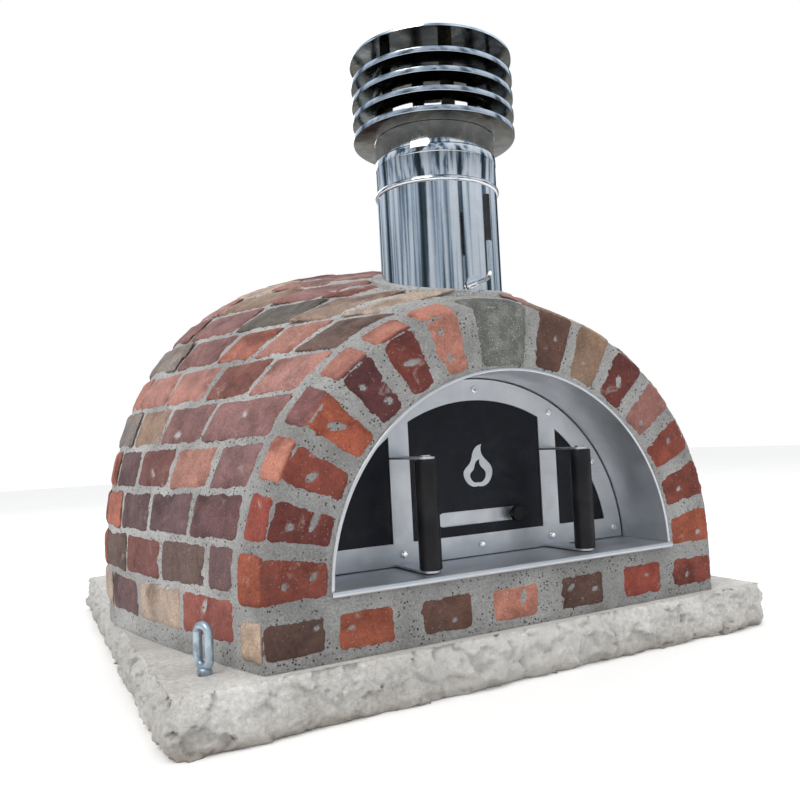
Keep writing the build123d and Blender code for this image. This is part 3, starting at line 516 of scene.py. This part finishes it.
def islands(node):
    """The separate solids of a CAD node, each as welded points and faces."""
    work = bmesh.new()
    work.from_mesh(nodes[node].data)
    bmesh.ops.remove_doubles(work, verts=work.verts, dist=1e-5)
    work.verts.index_update()
    seen, found = set(), []
    for start in work.verts:
        if start.index in seen:
            continue
        stack, group = [start], []
        seen.add(start.index)
        while stack:
            v = stack.pop()
            group.append(v)
            for e in v.link_edges:
                w = e.other_vert(v)
                if w.index not in seen:
                    seen.add(w.index)
                    stack.append(w)
        where = {v.index: i for i, v in enumerate(group)}
        faces = {f for v in group for f in v.link_faces}
        points = np.array([v.co[:] for v in group])
        found.append((points, [[where[v.index] for v in f.verts] for f in faces]))
    work.free()
    return found


def net(base, rows, wide, loop_rows=False, loop_wide=False):
    """Faces between rows of points, row after row, that may close on themselves either way."""
    faces = []
    for i in range(rows if loop_rows else rows - 1):
        for j in range(wide if loop_wide else wide - 1):
            a, b = (base + i * wide + k % wide for k in (j, j + 1))
            d, c = (base + (i + 1) % rows * wide + k % wide for k in (j, j + 1))
            faces.append((a, b, c, d))
    return faces


def border(faces):
    """The directed edges that only one face has."""
    edges = {}
    for f in faces:
        for a, b in zip(f, f[1:] + f[:1]):
            if (b, a) in edges:
                del edges[(b, a)]
            else:
                edges[(a, b)] = True
    return list(edges)


# ---- colours of the facing bricks ----------------------------

colours = {
    "red": (0.265, 0.058, 0.040), "dark_red": (0.140, 0.034, 0.028), "maroon": (0.098, 0.028, 0.030),
    "orange": (0.335, 0.088, 0.048), "salmon": (0.400, 0.165, 0.118), "pink": (0.325, 0.145, 0.120),
    "mauve": (0.200, 0.085, 0.082), "purple": (0.098, 0.042, 0.048), "brown": (0.112, 0.058, 0.044),
    "tan": (0.270, 0.180, 0.130), "pale": (0.400, 0.310, 0.245), "grey": (0.220, 0.185, 0.165),
    "olive": (0.084, 0.072, 0.054), "red_brown": (0.200, 0.050, 0.034),
}
# the bricks of each course on the left, going back from the mouth
left_colours = [
    ["red", "pale", "purple", "pale"],
    ["purple", "brown", "dark_red", "brown", "orange"],
    ["maroon", "purple", "purple", "orange"],
    ["mauve", "salmon", "dark_red", "purple", "orange"],
    ["mauve", "mauve", "tan", "grey"],
    ["pink", "red_brown", "pink", "pink", "salmon"],
    ["brown", "salmon", "orange", "mauve", "grey"],
    ["pale", "tan", "olive", "mauve", "mauve"],
    ["red_brown", "mauve", "tan", "pink"],
    ["pink", "pale", "grey"],
]
# the arch from the left springing over to the right
arch_colours = ["red_brown", "dark_red", "red_brown", "orange", "maroon", "dark_red", "salmon",
                "brown", "tan", "dark_red", "pink", "red_brown", "red_brown", "orange"]
# the sides of the blocks that turn the corner, over the same arch and row
arch_sides = ["orange", "red", "salmon", "mauve", "pink", "salmon", "salmon",
              "tan", "pale", "mauve", "pink", "salmon", "mauve", "pale"]
row_sides = ["pale", "orange", "brown", "salmon", "brown", "red", "grey"]
row_colours = ["brown", "orange", "brown", "salmon", "brown", "red", "red_brown"]


def brick_colour(name, source, dust=0.0):
    """A named colour with a small change of its own and a share of pale dust."""
    lift = source.uniform(0.88, 1.14)
    warm = source.uniform(-0.05, 0.05)
    r, g, b = colours[name]
    own = (r * lift * (1 + warm), g * lift, b * lift * (1 - warm))
    return tuple(c + (d - c) * dust for c, d in zip(own, (0.34, 0.30, 0.29)))


# ---- facing bricks -------------------------------------------

def outward(p):
    """Roughly outwards from the oven at a point."""
    behind = p.y - dome_y
    return Vector((p.x, max(0.0, behind), p.z - slab_top - (0.15 if behind < 0 else 0.0)))


def front_face(points, faces):
    """The outline, centre and normal of a slip's face that looks outwards."""
    groups = {}
    for f in faces:
        a, b, c = (Vector(points[i]) for i in f[:3])
        normal = (b - a).cross(c - a)
        if normal.length >= 1e-10:
            key = tuple(round(x, 2) for x in normal.normalized())
            size, group = groups.get(key, (0, []))
            groups[key] = (size + normal.length, group + [f])
    ahead = outward(Vector(points.mean(0)))
    best = max(groups, key=lambda key: groups[key][0] * (1 if Vector(key).dot(ahead) > 0 else -1))
    normal = Vector(best).normalized()
    follow = dict(border(groups[best][1]))
    start = next(iter(follow))
    loop, at = [start], follow[start]
    while at != start and len(loop) < 400:
        loop.append(at)
        at = follow[at]
    outline = [Vector(points[i]) for i in loop]
    return outline, sum(outline, Vector()) / len(outline), normal


brick_cell = 0.0032            # size of the cells the worn bricks are made of
margin = 0.007                 # how far a brick's patch goes past its outline
sunk = 0.0075                  # how far its rim lies under the mortar
brick_rise = 0.0021            # how far its face stands above the CAD face
edge_wear = 0.0024
chip_depth = 0.007
rounding = 0.0055              # where the face starts to fall towards the edge


def dimple_reach(x, y, wide, long, angle):
    """Squared distance from a turned oval's centre, 1 on its edge."""
    a = x * math.cos(angle) + y * math.sin(angle)
    b = -x * math.sin(angle) + y * math.cos(angle)
    return (a / long) ** 2 + (b / wide) ** 2


def outline_distance(poly, pts, corner):
    """Signed distance from points to an outline, negative inside, with rounded corners."""
    a, b = poly, np.roll(poly, -1, 0)
    along = b - a
    length = np.maximum(np.linalg.norm(along, axis=1), 1e-9)
    along = along / length[:, None]
    out = np.stack([along[:, 1], -along[:, 0]], 1)
    rel = pts[:, None, :] - a[None]
    side = (rel * out[None]).sum(2)
    t = np.clip((rel * along[None]).sum(2), 0, length[None])
    near = np.linalg.norm(rel - along[None] * t[..., None], axis=2).min(1)
    turn = np.cross(along, np.roll(along, -1, 0))
    if turn.min() > -0.02:
        lifted = np.maximum(side + corner, 0)
        rounded = (lifted ** 4).sum(1) ** 0.25 - corner
        return np.where(side.max(1) < -corner, side.max(1), rounded)
    crossings = np.zeros(len(pts), int)
    for (x0, y0), (x1, y1) in zip(a, b):
        if abs(y1 - y0) < 1e-12:
            continue
        hit = ((y0 > pts[:, 1]) != (y1 > pts[:, 1]))
        x = x0 + (pts[:, 1] - y0) / (y1 - y0) * (x1 - x0)
        crossings += hit & (pts[:, 0] < x)
    return np.where(crossings % 2 == 1, -near, near)


def slip_patch(points, faces, seed):
    """A worn brick face as a fine patch of heights over its outline, closed underneath."""
    outline, centre, normal = front_face(points, faces)
    longest = max(zip(outline, outline[1:] + outline[:1]), key=lambda e: (e[1] - e[0]).length)
    along = (longest[1] - longest[0]).normalized()
    across = normal.cross(along)
    flat = np.array([[(p - centre).dot(along), (p - centre).dot(across)] for p in outline])
    source = random.Random(seed)
    low, high = flat.min(0) - margin, flat.max(0) + margin
    nx, ny = (int(math.ceil(s / brick_cell)) + 1 for s in (high - low))
    gx, gy = np.meshgrid(np.linspace(low[0], high[0], nx), np.linspace(low[1], high[1], ny), indexing="ij")
    flat_points = np.stack([gx.ravel(), gy.ravel()], 1)
    distance = outline_distance(flat, flat_points, source.uniform(0.008, 0.016))
    bulge = source.uniform(0.0002, 0.0014)
    tip = (source.uniform(-0.010, 0.010), source.uniform(-0.012, 0.012))
    dimples = []
    for _ in range(source.choice((0, 0, 0, 0, 1))):
        place = source.uniform(low[0] * 0.6, high[0] * 0.6), source.uniform(low[1] * 0.5, high[1] * 0.5)
        wide, long = source.uniform(0.003, 0.006), source.uniform(0.003, 0.011)
        dimples.append((*place, wide, long, source.uniform(0, math.pi)))
    heights, fills, where = [], [], []
    for (u, v), d in zip(flat_points, distance):
        place = centre + along * u + across * v
        edge = d + edge_wear + 0.0012 * rough(place, 38, 2, seed) + 0.0010 * rough(place, 150, 3, seed)
        edge += chip_depth * max(0.0, rough(place, 70, 2, seed + 11) - 0.5)
        fall = max(0.0, edge + rounding)
        height = brick_rise + bulge * max(0.0, min(1.0, -edge / 0.02)) + tip[0] * u + tip[1] * v
        height += 0.0009 * rough(place, 42, 4, seed + 3) - 34 * fall * fall
        fill = 0.0
        for du, dv, wide, long, angle in dimples:
            r = dimple_reach(u - du, v - dv, wide, long, angle)
            if r < 1.6:
                height -= 0.0022 * max(0.0, 1 - r / 1.6)
                fill = max(fill, min(0.7, 1.3 - r))
        heights.append(max(-sunk, height))
        fills.append(fill)
        where.append(place)
    keep = distance < margin * 0.95
    cells = []
    for i in range(nx - 1):
        for j in range(ny - 1):
            corners = (i * ny + j, (i + 1) * ny + j, (i + 1) * ny + j + 1, i * ny + j + 1)
            if all(keep[c] for c in corners):
                cells.append(corners)
    used = sorted({c for cell in cells for c in cell})
    index = {c: i for i, c in enumerate(used)}
    points = [where[c] + normal * heights[c] for c in used]
    fill = [fills[c] for c in used]
    faces = [tuple(index[c] for c in cell) for cell in cells]
    points.append(centre - normal * sunk * 1.15)
    fill.append(0.0)
    faces += [(b, a, len(points) - 1) for a, b in border(faces)]
    return points, faces, fill


def join(name, node, slot, parts):
    """One piece from parts given as points, faces and tints, in place of a CAD node.

    A tint is a point's colour, with 1 less its share of mortar in the alpha.
    """
    points, faces, tints = [], [], []
    for own_points, own_faces, own_tints in parts:
        base = len(points)
        points += own_points
        faces += [tuple(i + base for i in f) for f in own_faces]
        tints += own_tints
    piece = make_object(name, points, faces, "oven", slot)
    layer = piece.data.color_attributes.new("tint", "FLOAT_COLOR", "POINT")
    layer.data.foreach_set("color", np.array(tints, dtype=np.float32).ravel())
    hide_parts(node)


def make_course(node, number):
    """All the worn bricks of one course."""
    parts = sorted(islands(node), key=lambda part: part[0].mean(0)[1])
    left = [part for part in parts if part[0].mean(0)[0] < 0]
    right = [part for part in parts if part[0].mean(0)[0] >= 0]
    listed = left_colours[number] if number < len(left_colours) else []
    names = [*colours, "mauve", "red_brown", "pink", "dark_red", "salmon"]
    worn = []
    for side, group in enumerate((left, right)):
        for k, (pts, faces) in enumerate(group):
            seed = number * 61 + side * 29 + k
            source = random.Random(seed * 7 + 5)
            name = listed[k] if side == 0 and k < len(listed) else source.choice(names)
            tint = brick_colour(name, source, 0.13)
            points, new, fill = slip_patch(pts, faces, seed)
            worn.append((points, new, [(*tint, 1 - f) for f in fill]))
    join("worn_" + node, node, "brick", worn)


# ---- bricks round the mouth ----------------------------------

def remeshed(points, faces, voxel, bevel):
    """A solid with rounded edges, remade in small even faces."""
    mesh = bpy.data.meshes.new("work")
    mesh.from_pydata([tuple(p) for p in points], [], [list(f) for f in faces])
    work = bmesh.new()
    work.from_mesh(mesh)
    bmesh.ops.dissolve_limit(work, angle_limit=0.03, verts=work.verts, edges=work.edges)
    bmesh.ops.recalc_face_normals(work, faces=work.faces)
    work.to_mesh(mesh)
    work.free()
    piece = bpy.data.objects.new("work", mesh)
    scene.collection.objects.link(piece)
    soften = piece.modifiers.new("bevel", "BEVEL")
    soften.width = bevel
    soften.segments = 3
    soften.limit_method = "ANGLE"
    remake = piece.modifiers.new("remesh", "REMESH")
    remake.mode = "VOXEL"
    remake.voxel_size = voxel
    done = bpy.data.meshes.new_from_object(piece.evaluated_get(bpy.context.evaluated_depsgraph_get()))
    bpy.data.objects.remove(piece)
    bpy.data.meshes.remove(mesh)
    count = len(done.vertices)
    co = np.zeros(count * 3, np.float32)
    done.vertices.foreach_get("co", co)
    normals = np.zeros(count * 3, np.float32)
    done.vertices.foreach_get("normal", normals)
    new = [tuple(p.vertices) for p in done.polygons]
    bpy.data.meshes.remove(done)
    return co.reshape(-1, 3), normals.reshape(-1, 3), new


face_inner = 0.295             # inner radius of the arch bricks' front faces
face_depth = 0.082
arch_pitch = 0.060             # width of one arch brick
row_pitch = 0.090              # width and height of one brick of the row below
row_height = 0.050
# dimples on the arch bricks from the left springing: share of the depth out from the mouth, share
# across, half width and half length in mm, and the long way's angle to the radius in degrees
arch_dimples = [
    [(0.70, 0.15, 4, 5, 0), (0.25, -0.05, 4, 7, 60)],
    [(0.72, 0.15, 5, 5, 0), (0.35, -0.10, 5, 14, 80)],
    [(0.62, 0.10, 5, 9, 50)],
    [(0.66, 0.05, 5, 13, 30)],
    [(0.72, 0.15, 4, 6, 20), (0.28, -0.12, 4, 7, 40)],
    [(0.55, 0.02, 5, 14, 75)],
    [(0.78, 0.12, 4, 6, 0), (0.32, 0.10, 5, 8, 30)],
    [(0.60, -0.20, 3, 5, 10)],
    [(0.40, 0.10, 3, 4, 70)],
    [(0.50, 0.05, 5, 9, 40)],
    [(0.30, -0.10, 3, 5, 10)],
    [(0.65, 0.10, 4, 6, 60)],
    [(0.45, 0.00, 3, 6, 20)],
    [(0.75, -0.12, 4, 5, 0)],
]
# the same on the row of bricks below, from the left, as shares of the width and the height
row_dimples = [[(0.3, 0.2, 3, 4, 0)], [(-0.25, 0.05, 3, 6, 20)], [(0.1, -0.2, 3, 4, 0)],
               [(0.15, 0.05, 5, 12, 70)], [(-0.25, 0.1, 4, 7, 30), (0.25, -0.05, 4, 6, 10)],
               [(0.1, 0.1, 3, 5, 0)], [(-0.1, -0.1, 3, 5, 60)]]


block_swell = 0.0016           # how far the blocks stand above their CAD faces
side_swell = 0.0022            # more of the same on the sides that look away from the mouth
edge_fall = 0.0026             # how far they are worn back at the edges


def weather(co, normals, seed, dimples, outwards):
    """Worn points of one block, each one's share of mortar and how far it belongs to the side."""
    moved, fills, sides = [], [], []
    for p, n in zip(co, normals):
        place, normal = Vector(p), Vector(n)
        wander = Vector([rough(place, 34, 2, seed + shift) for shift in (0, 9, 21)])
        wander -= normal * wander.dot(normal)
        fine = rough(place, 190, 3, seed + 5)
        away = normal.dot(outwards)
        push = block_swell + 0.0005 * rough(place, 30, 3, seed + 2)
        facing = max(-normal.y, away, 0.0)
        if facing < 0.75:
            push -= edge_fall * (1 - facing / 0.75)
            push += 0.0011 * fine - 0.006 * max(0.0, rough(place, 80, 2, seed + 31) - 0.5)
        push += side_swell * max(0.0, away)
        new = place + wander * 0.0015 + normal * (push + 0.0005 * fine)
        fill = 0.0
        if normal.y < -0.5:
            for cx, cz, wide, long, angle in dimples:
                r = dimple_reach(place.x - cx, place.z - cz, wide, long, angle)
                if r < 1.5:
                    new.y += 0.0034 * max(0.0, 1 - r / 1.5)
                    fill = max(fill, min(0.75, 1.15 - r))
        moved.append(new)
        sides.append(max(0.0, min(1.0, (away + normal.y * 0.9) * 4)))
        fills.append(fill)
    return moved, fills, sides


def make_blocks(node, name, slot, colour_names, side_names, dimple_list, polar):
    """The bricks that face the front, as worn blocks."""
    axis = Vector((mouth_x, 0, slab_top + springing))

    def order(part):
        spot = Vector(part[0].mean(0)) - axis
        return -math.atan2(spot.z, spot.x) if polar else spot.x

    worn = []
    for k, (pts, faces) in enumerate(sorted(islands(node), key=order)):
        seed = 300 + 17 * k + (0 if polar else 400)
        source = random.Random(seed)
        centre = pts[pts[:, 1] < pts[:, 1].min() + 0.002].mean(0)
        spot = Vector(centre) - axis
        lean = math.atan2(spot.z, spot.x) if polar else 0.0
        marks = []
        for first, second, wide, long, angle in dimple_list[k] if dimple_list else []:
            if polar:
                reach = face_inner + face_depth * first
                x = mouth_x + math.cos(lean) * reach - math.sin(lean) * second * arch_pitch
                z = axis.z + math.sin(lean) * reach + math.cos(lean) * second * arch_pitch
            else:
                x, z = centre[0] + first * row_pitch, centre[2] + second * row_height
            marks.append((x, z, wide / 1000, long / 1000, lean + math.radians(angle)))
        co, normals, new = remeshed(pts, faces, brick_cell, 0.0095)
        away = Vector((spot.x, 0, spot.z))
        if not polar:
            away = Vector((math.copysign(1, spot.x), 0, 0)) if abs(spot.x) > 0.3 else Vector((0, 0, -1))
        points, fill, side = weather(co, normals, seed, marks, away.normalized())
        tint = other = (1, 1, 1)
        if colour_names:
            tint = tuple(c * 0.80 for c in brick_colour(colour_names[k], source))
            other = brick_colour(side_names[k], source)
        tints = []
        for f, share in zip(fill, side):
            tints.append((*(a + (b - a) * share for a, b in zip(tint, other)), 1 - f))
        worn.append((points, new, tints))
    join(name, node, slot, worn)


# ---- the mortar's skin ---------------------------------------

def shape_at(back):
    """Half width, height, upright height, squareness and centre of the form this far back."""
    t = min(1.0, back / set_back)
    k = 1 - (1 - t) ** flare
    front_height = springing + arch_radius
    return (arch_radius + (dome_radius - arch_radius) * k, front_height + (dome_height - front_height) * k,
            springing + (dome_upright - springing) * k, 2 + (squareness - 2) * k, mouth_x * (1 - t))


def half_section(back, count, rise):
    """Points up the right side of a section from the slab to the crown."""
    wide, height, upright, power, _ = shape_at(back)
    points = [(wide, upright * i / rise) for i in range(rise)]
    for i in range(count + 1):
        a = math.pi / 2 * i / count
        x = wide * max(0.0, math.cos(a)) ** (2 / power) if i < count else 0.0
        points.append((x, upright + (height - upright) * math.sin(a) ** (2 / power)))
    return points


def lumpy(place):
    """How far the mortar stands proud of the form here."""
    height = 0.0016 + 0.0012 * rough(place, 34, 4, 40) + 0.0007 * rough(place, 120, 3, 70)
    hole = rough(place, 95, 2, 12)
    return max(0.0002, height - max(0.0, hole - 0.45) * 0.006)


def displaced(points, faces):
    """The skin's points moved along their own normals."""
    mesh = bpy.data.meshes.new("work")
    mesh.from_pydata([tuple(p) for p in points], [], faces)
    work = bmesh.new()
    work.from_mesh(mesh)
    bmesh.ops.remove_doubles(work, verts=work.verts, dist=1e-5)
    bmesh.ops.recalc_face_normals(work, faces=work.faces)
    work.normal_update()
    for v in work.verts:
        v.co += v.normal * lumpy(v.co)
    result = [v.co.copy() for v in work.verts], [tuple(v.index for v in f.verts) for f in work.faces]
    work.free()
    bpy.data.meshes.remove(mesh)
    return result


def make_mortar_skin():
    """Rough mortar over the dome and the front wall, as one sheet that turns the front corner."""
    count, rise, steps, turns, rings, middle = 170, 14, 120, 360, 26, 145
    points, faces = [], []

    def grid(rows, keep=None):
        base = len(points)
        for row in rows:
            points.extend(row)
        for f in net(base, len(rows), len(rows[0])):
            if keep is None or keep((points[f[0]] + points[f[2]]) / 2):
                faces.append(f)

    def on_front(x, z):
        return Vector((mouth_x + x, front_y, slab_top + z))

    rows = []
    for i in range(steps + 1):
        back = set_back * i / steps
        half = half_section(back, count, rise)
        centre = shape_at(back)[4]
        row = [(centre + x, z) for x, z in half] + [(centre - x, z) for x, z in half[-2::-1]]
        rows.append([Vector((x, front_y + back, slab_top + z)) for x, z in row])
    grid(rows, lambda p: math.hypot(p.x - mouth_x, p.y - flue_y) > flue_hole)

    half = half_section(set_back, count, rise)
    rows = []
    for i in range(turns + 1):
        a = math.pi * i / turns
        rows.append([Vector((x * math.cos(a), dome_y + x * math.sin(a), slab_top + z)) for x, z in half])
    grid(rows)

    inner = mouth_radius + 0.001
    radii = [inner + (arch_radius - inner) * j / rings for j in range(rings + 1)]
    bends = [math.pi / 2 * i / count for i in range(2 * count + 1)]
    grid([[on_front(r * math.cos(a), springing + r * math.sin(a)) for r in radii] for a in bends])

    stations = [-r for r in radii[::-1]] + [inner * (2 * i / middle - 1) for i in range(1, middle)] + radii
    levels = [springing * j / rise for j in range(rise + 1)]
    grid([[on_front(x, z) for z in levels] for x in stations])
    lips = [springing + (sill_height - springing) * j / 2 for j in range(3)]
    grid([[on_front(x, z) for z in lips] for x in stations[rings:-rings]])

    points, faces = displaced(points, faces)
    return make_object("mortar_skin", points, faces, "oven", "mortar")


# ---- flue and cap --------------------------------------------

def lathe(name, outline, node, material=None):
    """A ring turned on the flue's axis from (radius, height) points, in place of a CAD node."""
    turns = 256
    points = []
    for i in range(turns):
        a = 2 * math.pi * i / turns
        points += [(mouth_x + r * math.cos(a), flue_y + r * math.sin(a), z) for r, z in outline]
    faces = [(a, d, c, b) for a, b, c, d in net(0, turns, len(outline), True, True)]
    piece = make_object(name, points, faces, body_of[node], "polished_stainless", material)
    piece.data.set_sharp_from_angle(angle=math.radians(38))
    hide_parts(node)


def bead(low, high, radius, proud):
    """An outward half-round bead between two heights."""
    steps = 8
    points = []
    for i in range(steps + 1):
        a = math.pi * i / steps
        points.append((radius + proud * math.sin(a), low + (high - low) * (1 - math.cos(a)) / 2))
    return points


def reach_of(node):
    """Outer radius, lowest and highest point of a turned node."""
    low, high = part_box(node)
    return (high.x - low.x) / 2, low.z, high.z


def make_flue():
    """Smooth pipe, bead, band and cowl rings turned from the CAD sizes."""
    wall, sheet, bore, bend, nick = 0.001, 0.0012, 0.1015, 0.0014, 0.0004
    radius, foot, seam = reach_of("flue_jacket")
    outline = [(radius, foot), (radius, seam), (radius - wall, seam), (radius - wall, foot)]
    lathe("jacket_pipe", outline, "flue_jacket")
    proud, low, high = reach_of("locking_band")
    lathe("locking_bead", bead(low, high, radius + 0.0001, proud - radius - 0.0001), "locking_band")
    proud, low, high = reach_of("flue_upper_jacket")
    band_low, band_high = low + 0.0415, low + 0.0565
    swell = radius + (proud - radius) * 0.6
    outline = [(radius, low), (radius, band_low), (swell, band_low + 0.0012), (proud, band_low + 0.003),
               (proud, band_high - 0.003), (swell, band_high - 0.0012), (radius, band_high),
               (radius, high), (radius - wall, high), (radius - wall, low)]
    lathe("upper_pipe", outline, "flue_upper_jacket")
    for i in range(4):
        node = f"cap_ring_{i + 1}"
        outer, low, high = reach_of(node)
        outline = [(bore, low), (outer - bend, low), (outer - bend * 0.3, low + bend * 0.3),
                   (outer, low + bend), (outer, high), (outer - sheet, high),
                   (outer - sheet, low + sheet), (bore, low + sheet)]
        lathe(f"cowl_ring_{i + 1}", outline, node, cap_steel)
    outer, low, high = reach_of("cap_lid")
    outline = [(nick, high - sheet), (outer - sheet, high - sheet), (outer - sheet, low), (outer, low),
               (outer, high - bend), (outer - nick, high - nick), (outer - bend, high), (nick, high)]
    lathe("cowl_lid", outline, "cap_lid", cap_steel)
    for node in ("cap_straps", "cap_spigot", "flue_liner"):
        nodes[node].data.materials[0] = dark_steel


# ---- lifting eyes --------------------------------------------

def make_eyes():
    """Welded links of round bar on collars, each turned its own way."""
    bar, bend, low, high = 0.0055, 0.0105, slab_top + 0.020, slab_top + 0.050
    segments, half_turn, collar_turns = 16, 24, 32
    place_x, place_y = 0.430, 0.446
    collar = [(0.0, -0.002), (0.0092, -0.002), (0.0092, 0.0055), (0.0078, 0.0078), (0.0050, 0.0095),
              (0.0, 0.0098)]
    path = []
    for centre, start in ((high, 0.0), (low, math.pi)):
        for i in range(half_turn):
            a = start + math.pi * i / (half_turn - 1)
            path.append((bend * math.cos(a), centre + bend * math.sin(a)))
    points, faces = [], []
    for sx, sy, degrees in ((-1, -1, -62), (1, -1, 62), (-1, 1, 64), (1, 1, -60)):
        foot = Vector((sx * place_x, sy * place_y, 0))
        lean = math.radians(degrees)
        along = Vector((math.cos(lean), math.sin(lean), 0))
        out = along.cross(Vector((0, 0, 1)))
        faces += net(len(points), len(path), segments, True, True)
        for i, (u, z) in enumerate(path):
            (u0, z0), (u1, z1) = path[i - 1], path[(i + 1) % len(path)]
            forward = (along * (u1 - u0) + Vector((0, 0, z1 - z0))).normalized()
            inward = forward.cross(out)
            middle = foot + Vector((0, 0, z)) + along * u
            for j in range(segments):
                a = 2 * math.pi * j / segments
                points.append(middle + (out * math.cos(a) + inward * math.sin(a)) * bar)
        faces += [(a, d, c, b) for a, b, c, d in net(len(points), collar_turns, len(collar), True)]
        for i in range(collar_turns):
            a = 2 * math.pi * i / collar_turns
            points += [foot + Vector((r * math.cos(a), r * math.sin(a), slab_top + z)) for r, z in collar]
    piece = make_object("lifting_links", points, faces, "oven", "galvanised")
    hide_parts("lifting_eyes")


# ---- the slab ------------------------------------------------

def facets(place, scale, depth):
    """Broken planes about 1/scale metres across, each with a height and a tilt of its own."""
    q = Vector((place.x * scale, place.y * scale, place.z * scale * 1.5))
    q += Vector((rough(place, 30, 2, 61), rough(place, 30, 2, 64), rough(place, 30, 2, 67))) * 0.25
    centre = noise.voronoi(q)[1][0]
    own = noise.cell_vector(centre * 7.31)
    lean = noise.cell_vector(centre * 3.17 + Vector((5, 9, 2))) - Vector((0.5, 0.5, 0.5))
    return depth * ((own.x - 0.5) * 1.1 + (q - centre).dot(lean) * 2.2)


def make_slab():
    """The stone slab: sawn flat on top, its edges broken to a rock face."""
    low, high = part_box("stone_slab")
    half_x, half_y, top = (high.x - low.x) / 2, (high.y - low.y) / 2, high.z
    step, levels, rings, bends = 0.0034, 22, 8, 12
    corner, inset = 0.026, 0.0255
    outline = []
    for turn in range(4):
        lean = turn * math.pi / 2
        run, far = (half_y, half_x) if turn % 2 == 0 else (half_x, half_y)
        out = Vector((math.cos(lean), math.sin(lean), 0))
        along = Vector((-out.y, out.x, 0))
        count = int(2 * (run - corner) / step)
        for i in range(count):
            outline.append((out * far + along * ((run - corner) * (2 * i / count - 1)), out))
        for i in range(bends):
            a = lean + math.pi / 2 * i / bends
            normal = Vector((math.cos(a), math.sin(a), 0))
            outline.append((out * (far - corner) + along * (run - corner) + normal * corner, normal))
    around = len(outline)

    def broken(place):
        """Depth of the rock face here, in from the sawn size."""
        h = place.z / top
        depth = 0.0072 + 0.0042 * rough(place, 8, 3, 3) + 0.0013 * rough(place, 120, 4, 15)
        depth += 0.011 * max(0.0, h - 0.74) / 0.26 + 0.009 * max(0.0, 0.20 - h) / 0.20
        depth += facets(place, 24, 0.0062) + facets(place + Vector((0.3, 0.1, 0.2)), 62, 0.0026)
        return min(0.023, max(0.0002, depth))

    points = []
    for k in range(levels + 1):
        for place, out in outline:
            p = Vector((place.x, place.y, top * k / levels))
            depth = broken(p)
            if k == levels:
                depth = min(0.018, max(0.004, depth))
            lift = 0.0 if k in (0, levels) else 0.0012 * rough(p, 40, 2, 31)
            points.append(p + Vector((0, 0, lift)) - out * depth)
    for r in range(1, rings + 1):
        share = (r / rings) ** 1.5
        for i, (place, out) in enumerate(outline):
            edge = points[levels * around + i]
            depth = (place - edge).dot(out)
            p = Vector((place.x, place.y, top)) - out * (depth + (inset - depth) * share)
            chip = max(0.0, rough(Vector((edge.x, edge.y, top)), 36, 3, 52) - 0.35) * 0.010
            p.z = top - 0.0004 - chip * max(0.0, 1 - (edge - p).length / 0.008)
            points.append(p)
    faces = net(0, levels + rings + 1, around, loop_wide=True)
    faces.append(tuple((levels + rings) * around + i for i in range(around)))
    faces.append(tuple(reversed(range(around))))
    piece = make_object("rock_faced_slab", points, faces, "oven", "slab_stone")
    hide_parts("stone_slab")


# ---- put together --------------------------------------------

def make_floor_plane():
    """A wide flat floor under the slab."""
    half = 9
    mesh = bpy.data.meshes.new("floor")
    corners = [(-half, -half, 0), (half, -half, 0), (half, half, 0), (-half, half, 0)]
    mesh.from_pydata(corners, [], [(0, 1, 2, 3)])
    mesh.materials.append(make_floor())
    floor = bpy.data.objects.new("floor", mesh)
    scene.collection.objects.link(floor)


make_camera()
make_lights()
make_floor_plane()
for name, piece in nodes.items():
    piece.data.materials.clear()
    piece.data.materials.append(materials[slot_of[name]])
for course_number in range(11):
    make_course(f"brick_course_{course_number + 1:02d}", course_number)
make_course("crown_bricks", 11)
make_blocks("arch_bricks", "worn_arch_bricks", "brick", arch_colours, arch_sides, arch_dimples, True)
make_blocks("front_row_bricks", "worn_row_bricks", "brick", row_colours, row_sides, row_dimples, False)
make_blocks("keystone", "worn_keystone", "granite", None, None, None, True)
make_mortar_skin()
make_slab()
make_flue()
make_eyes()
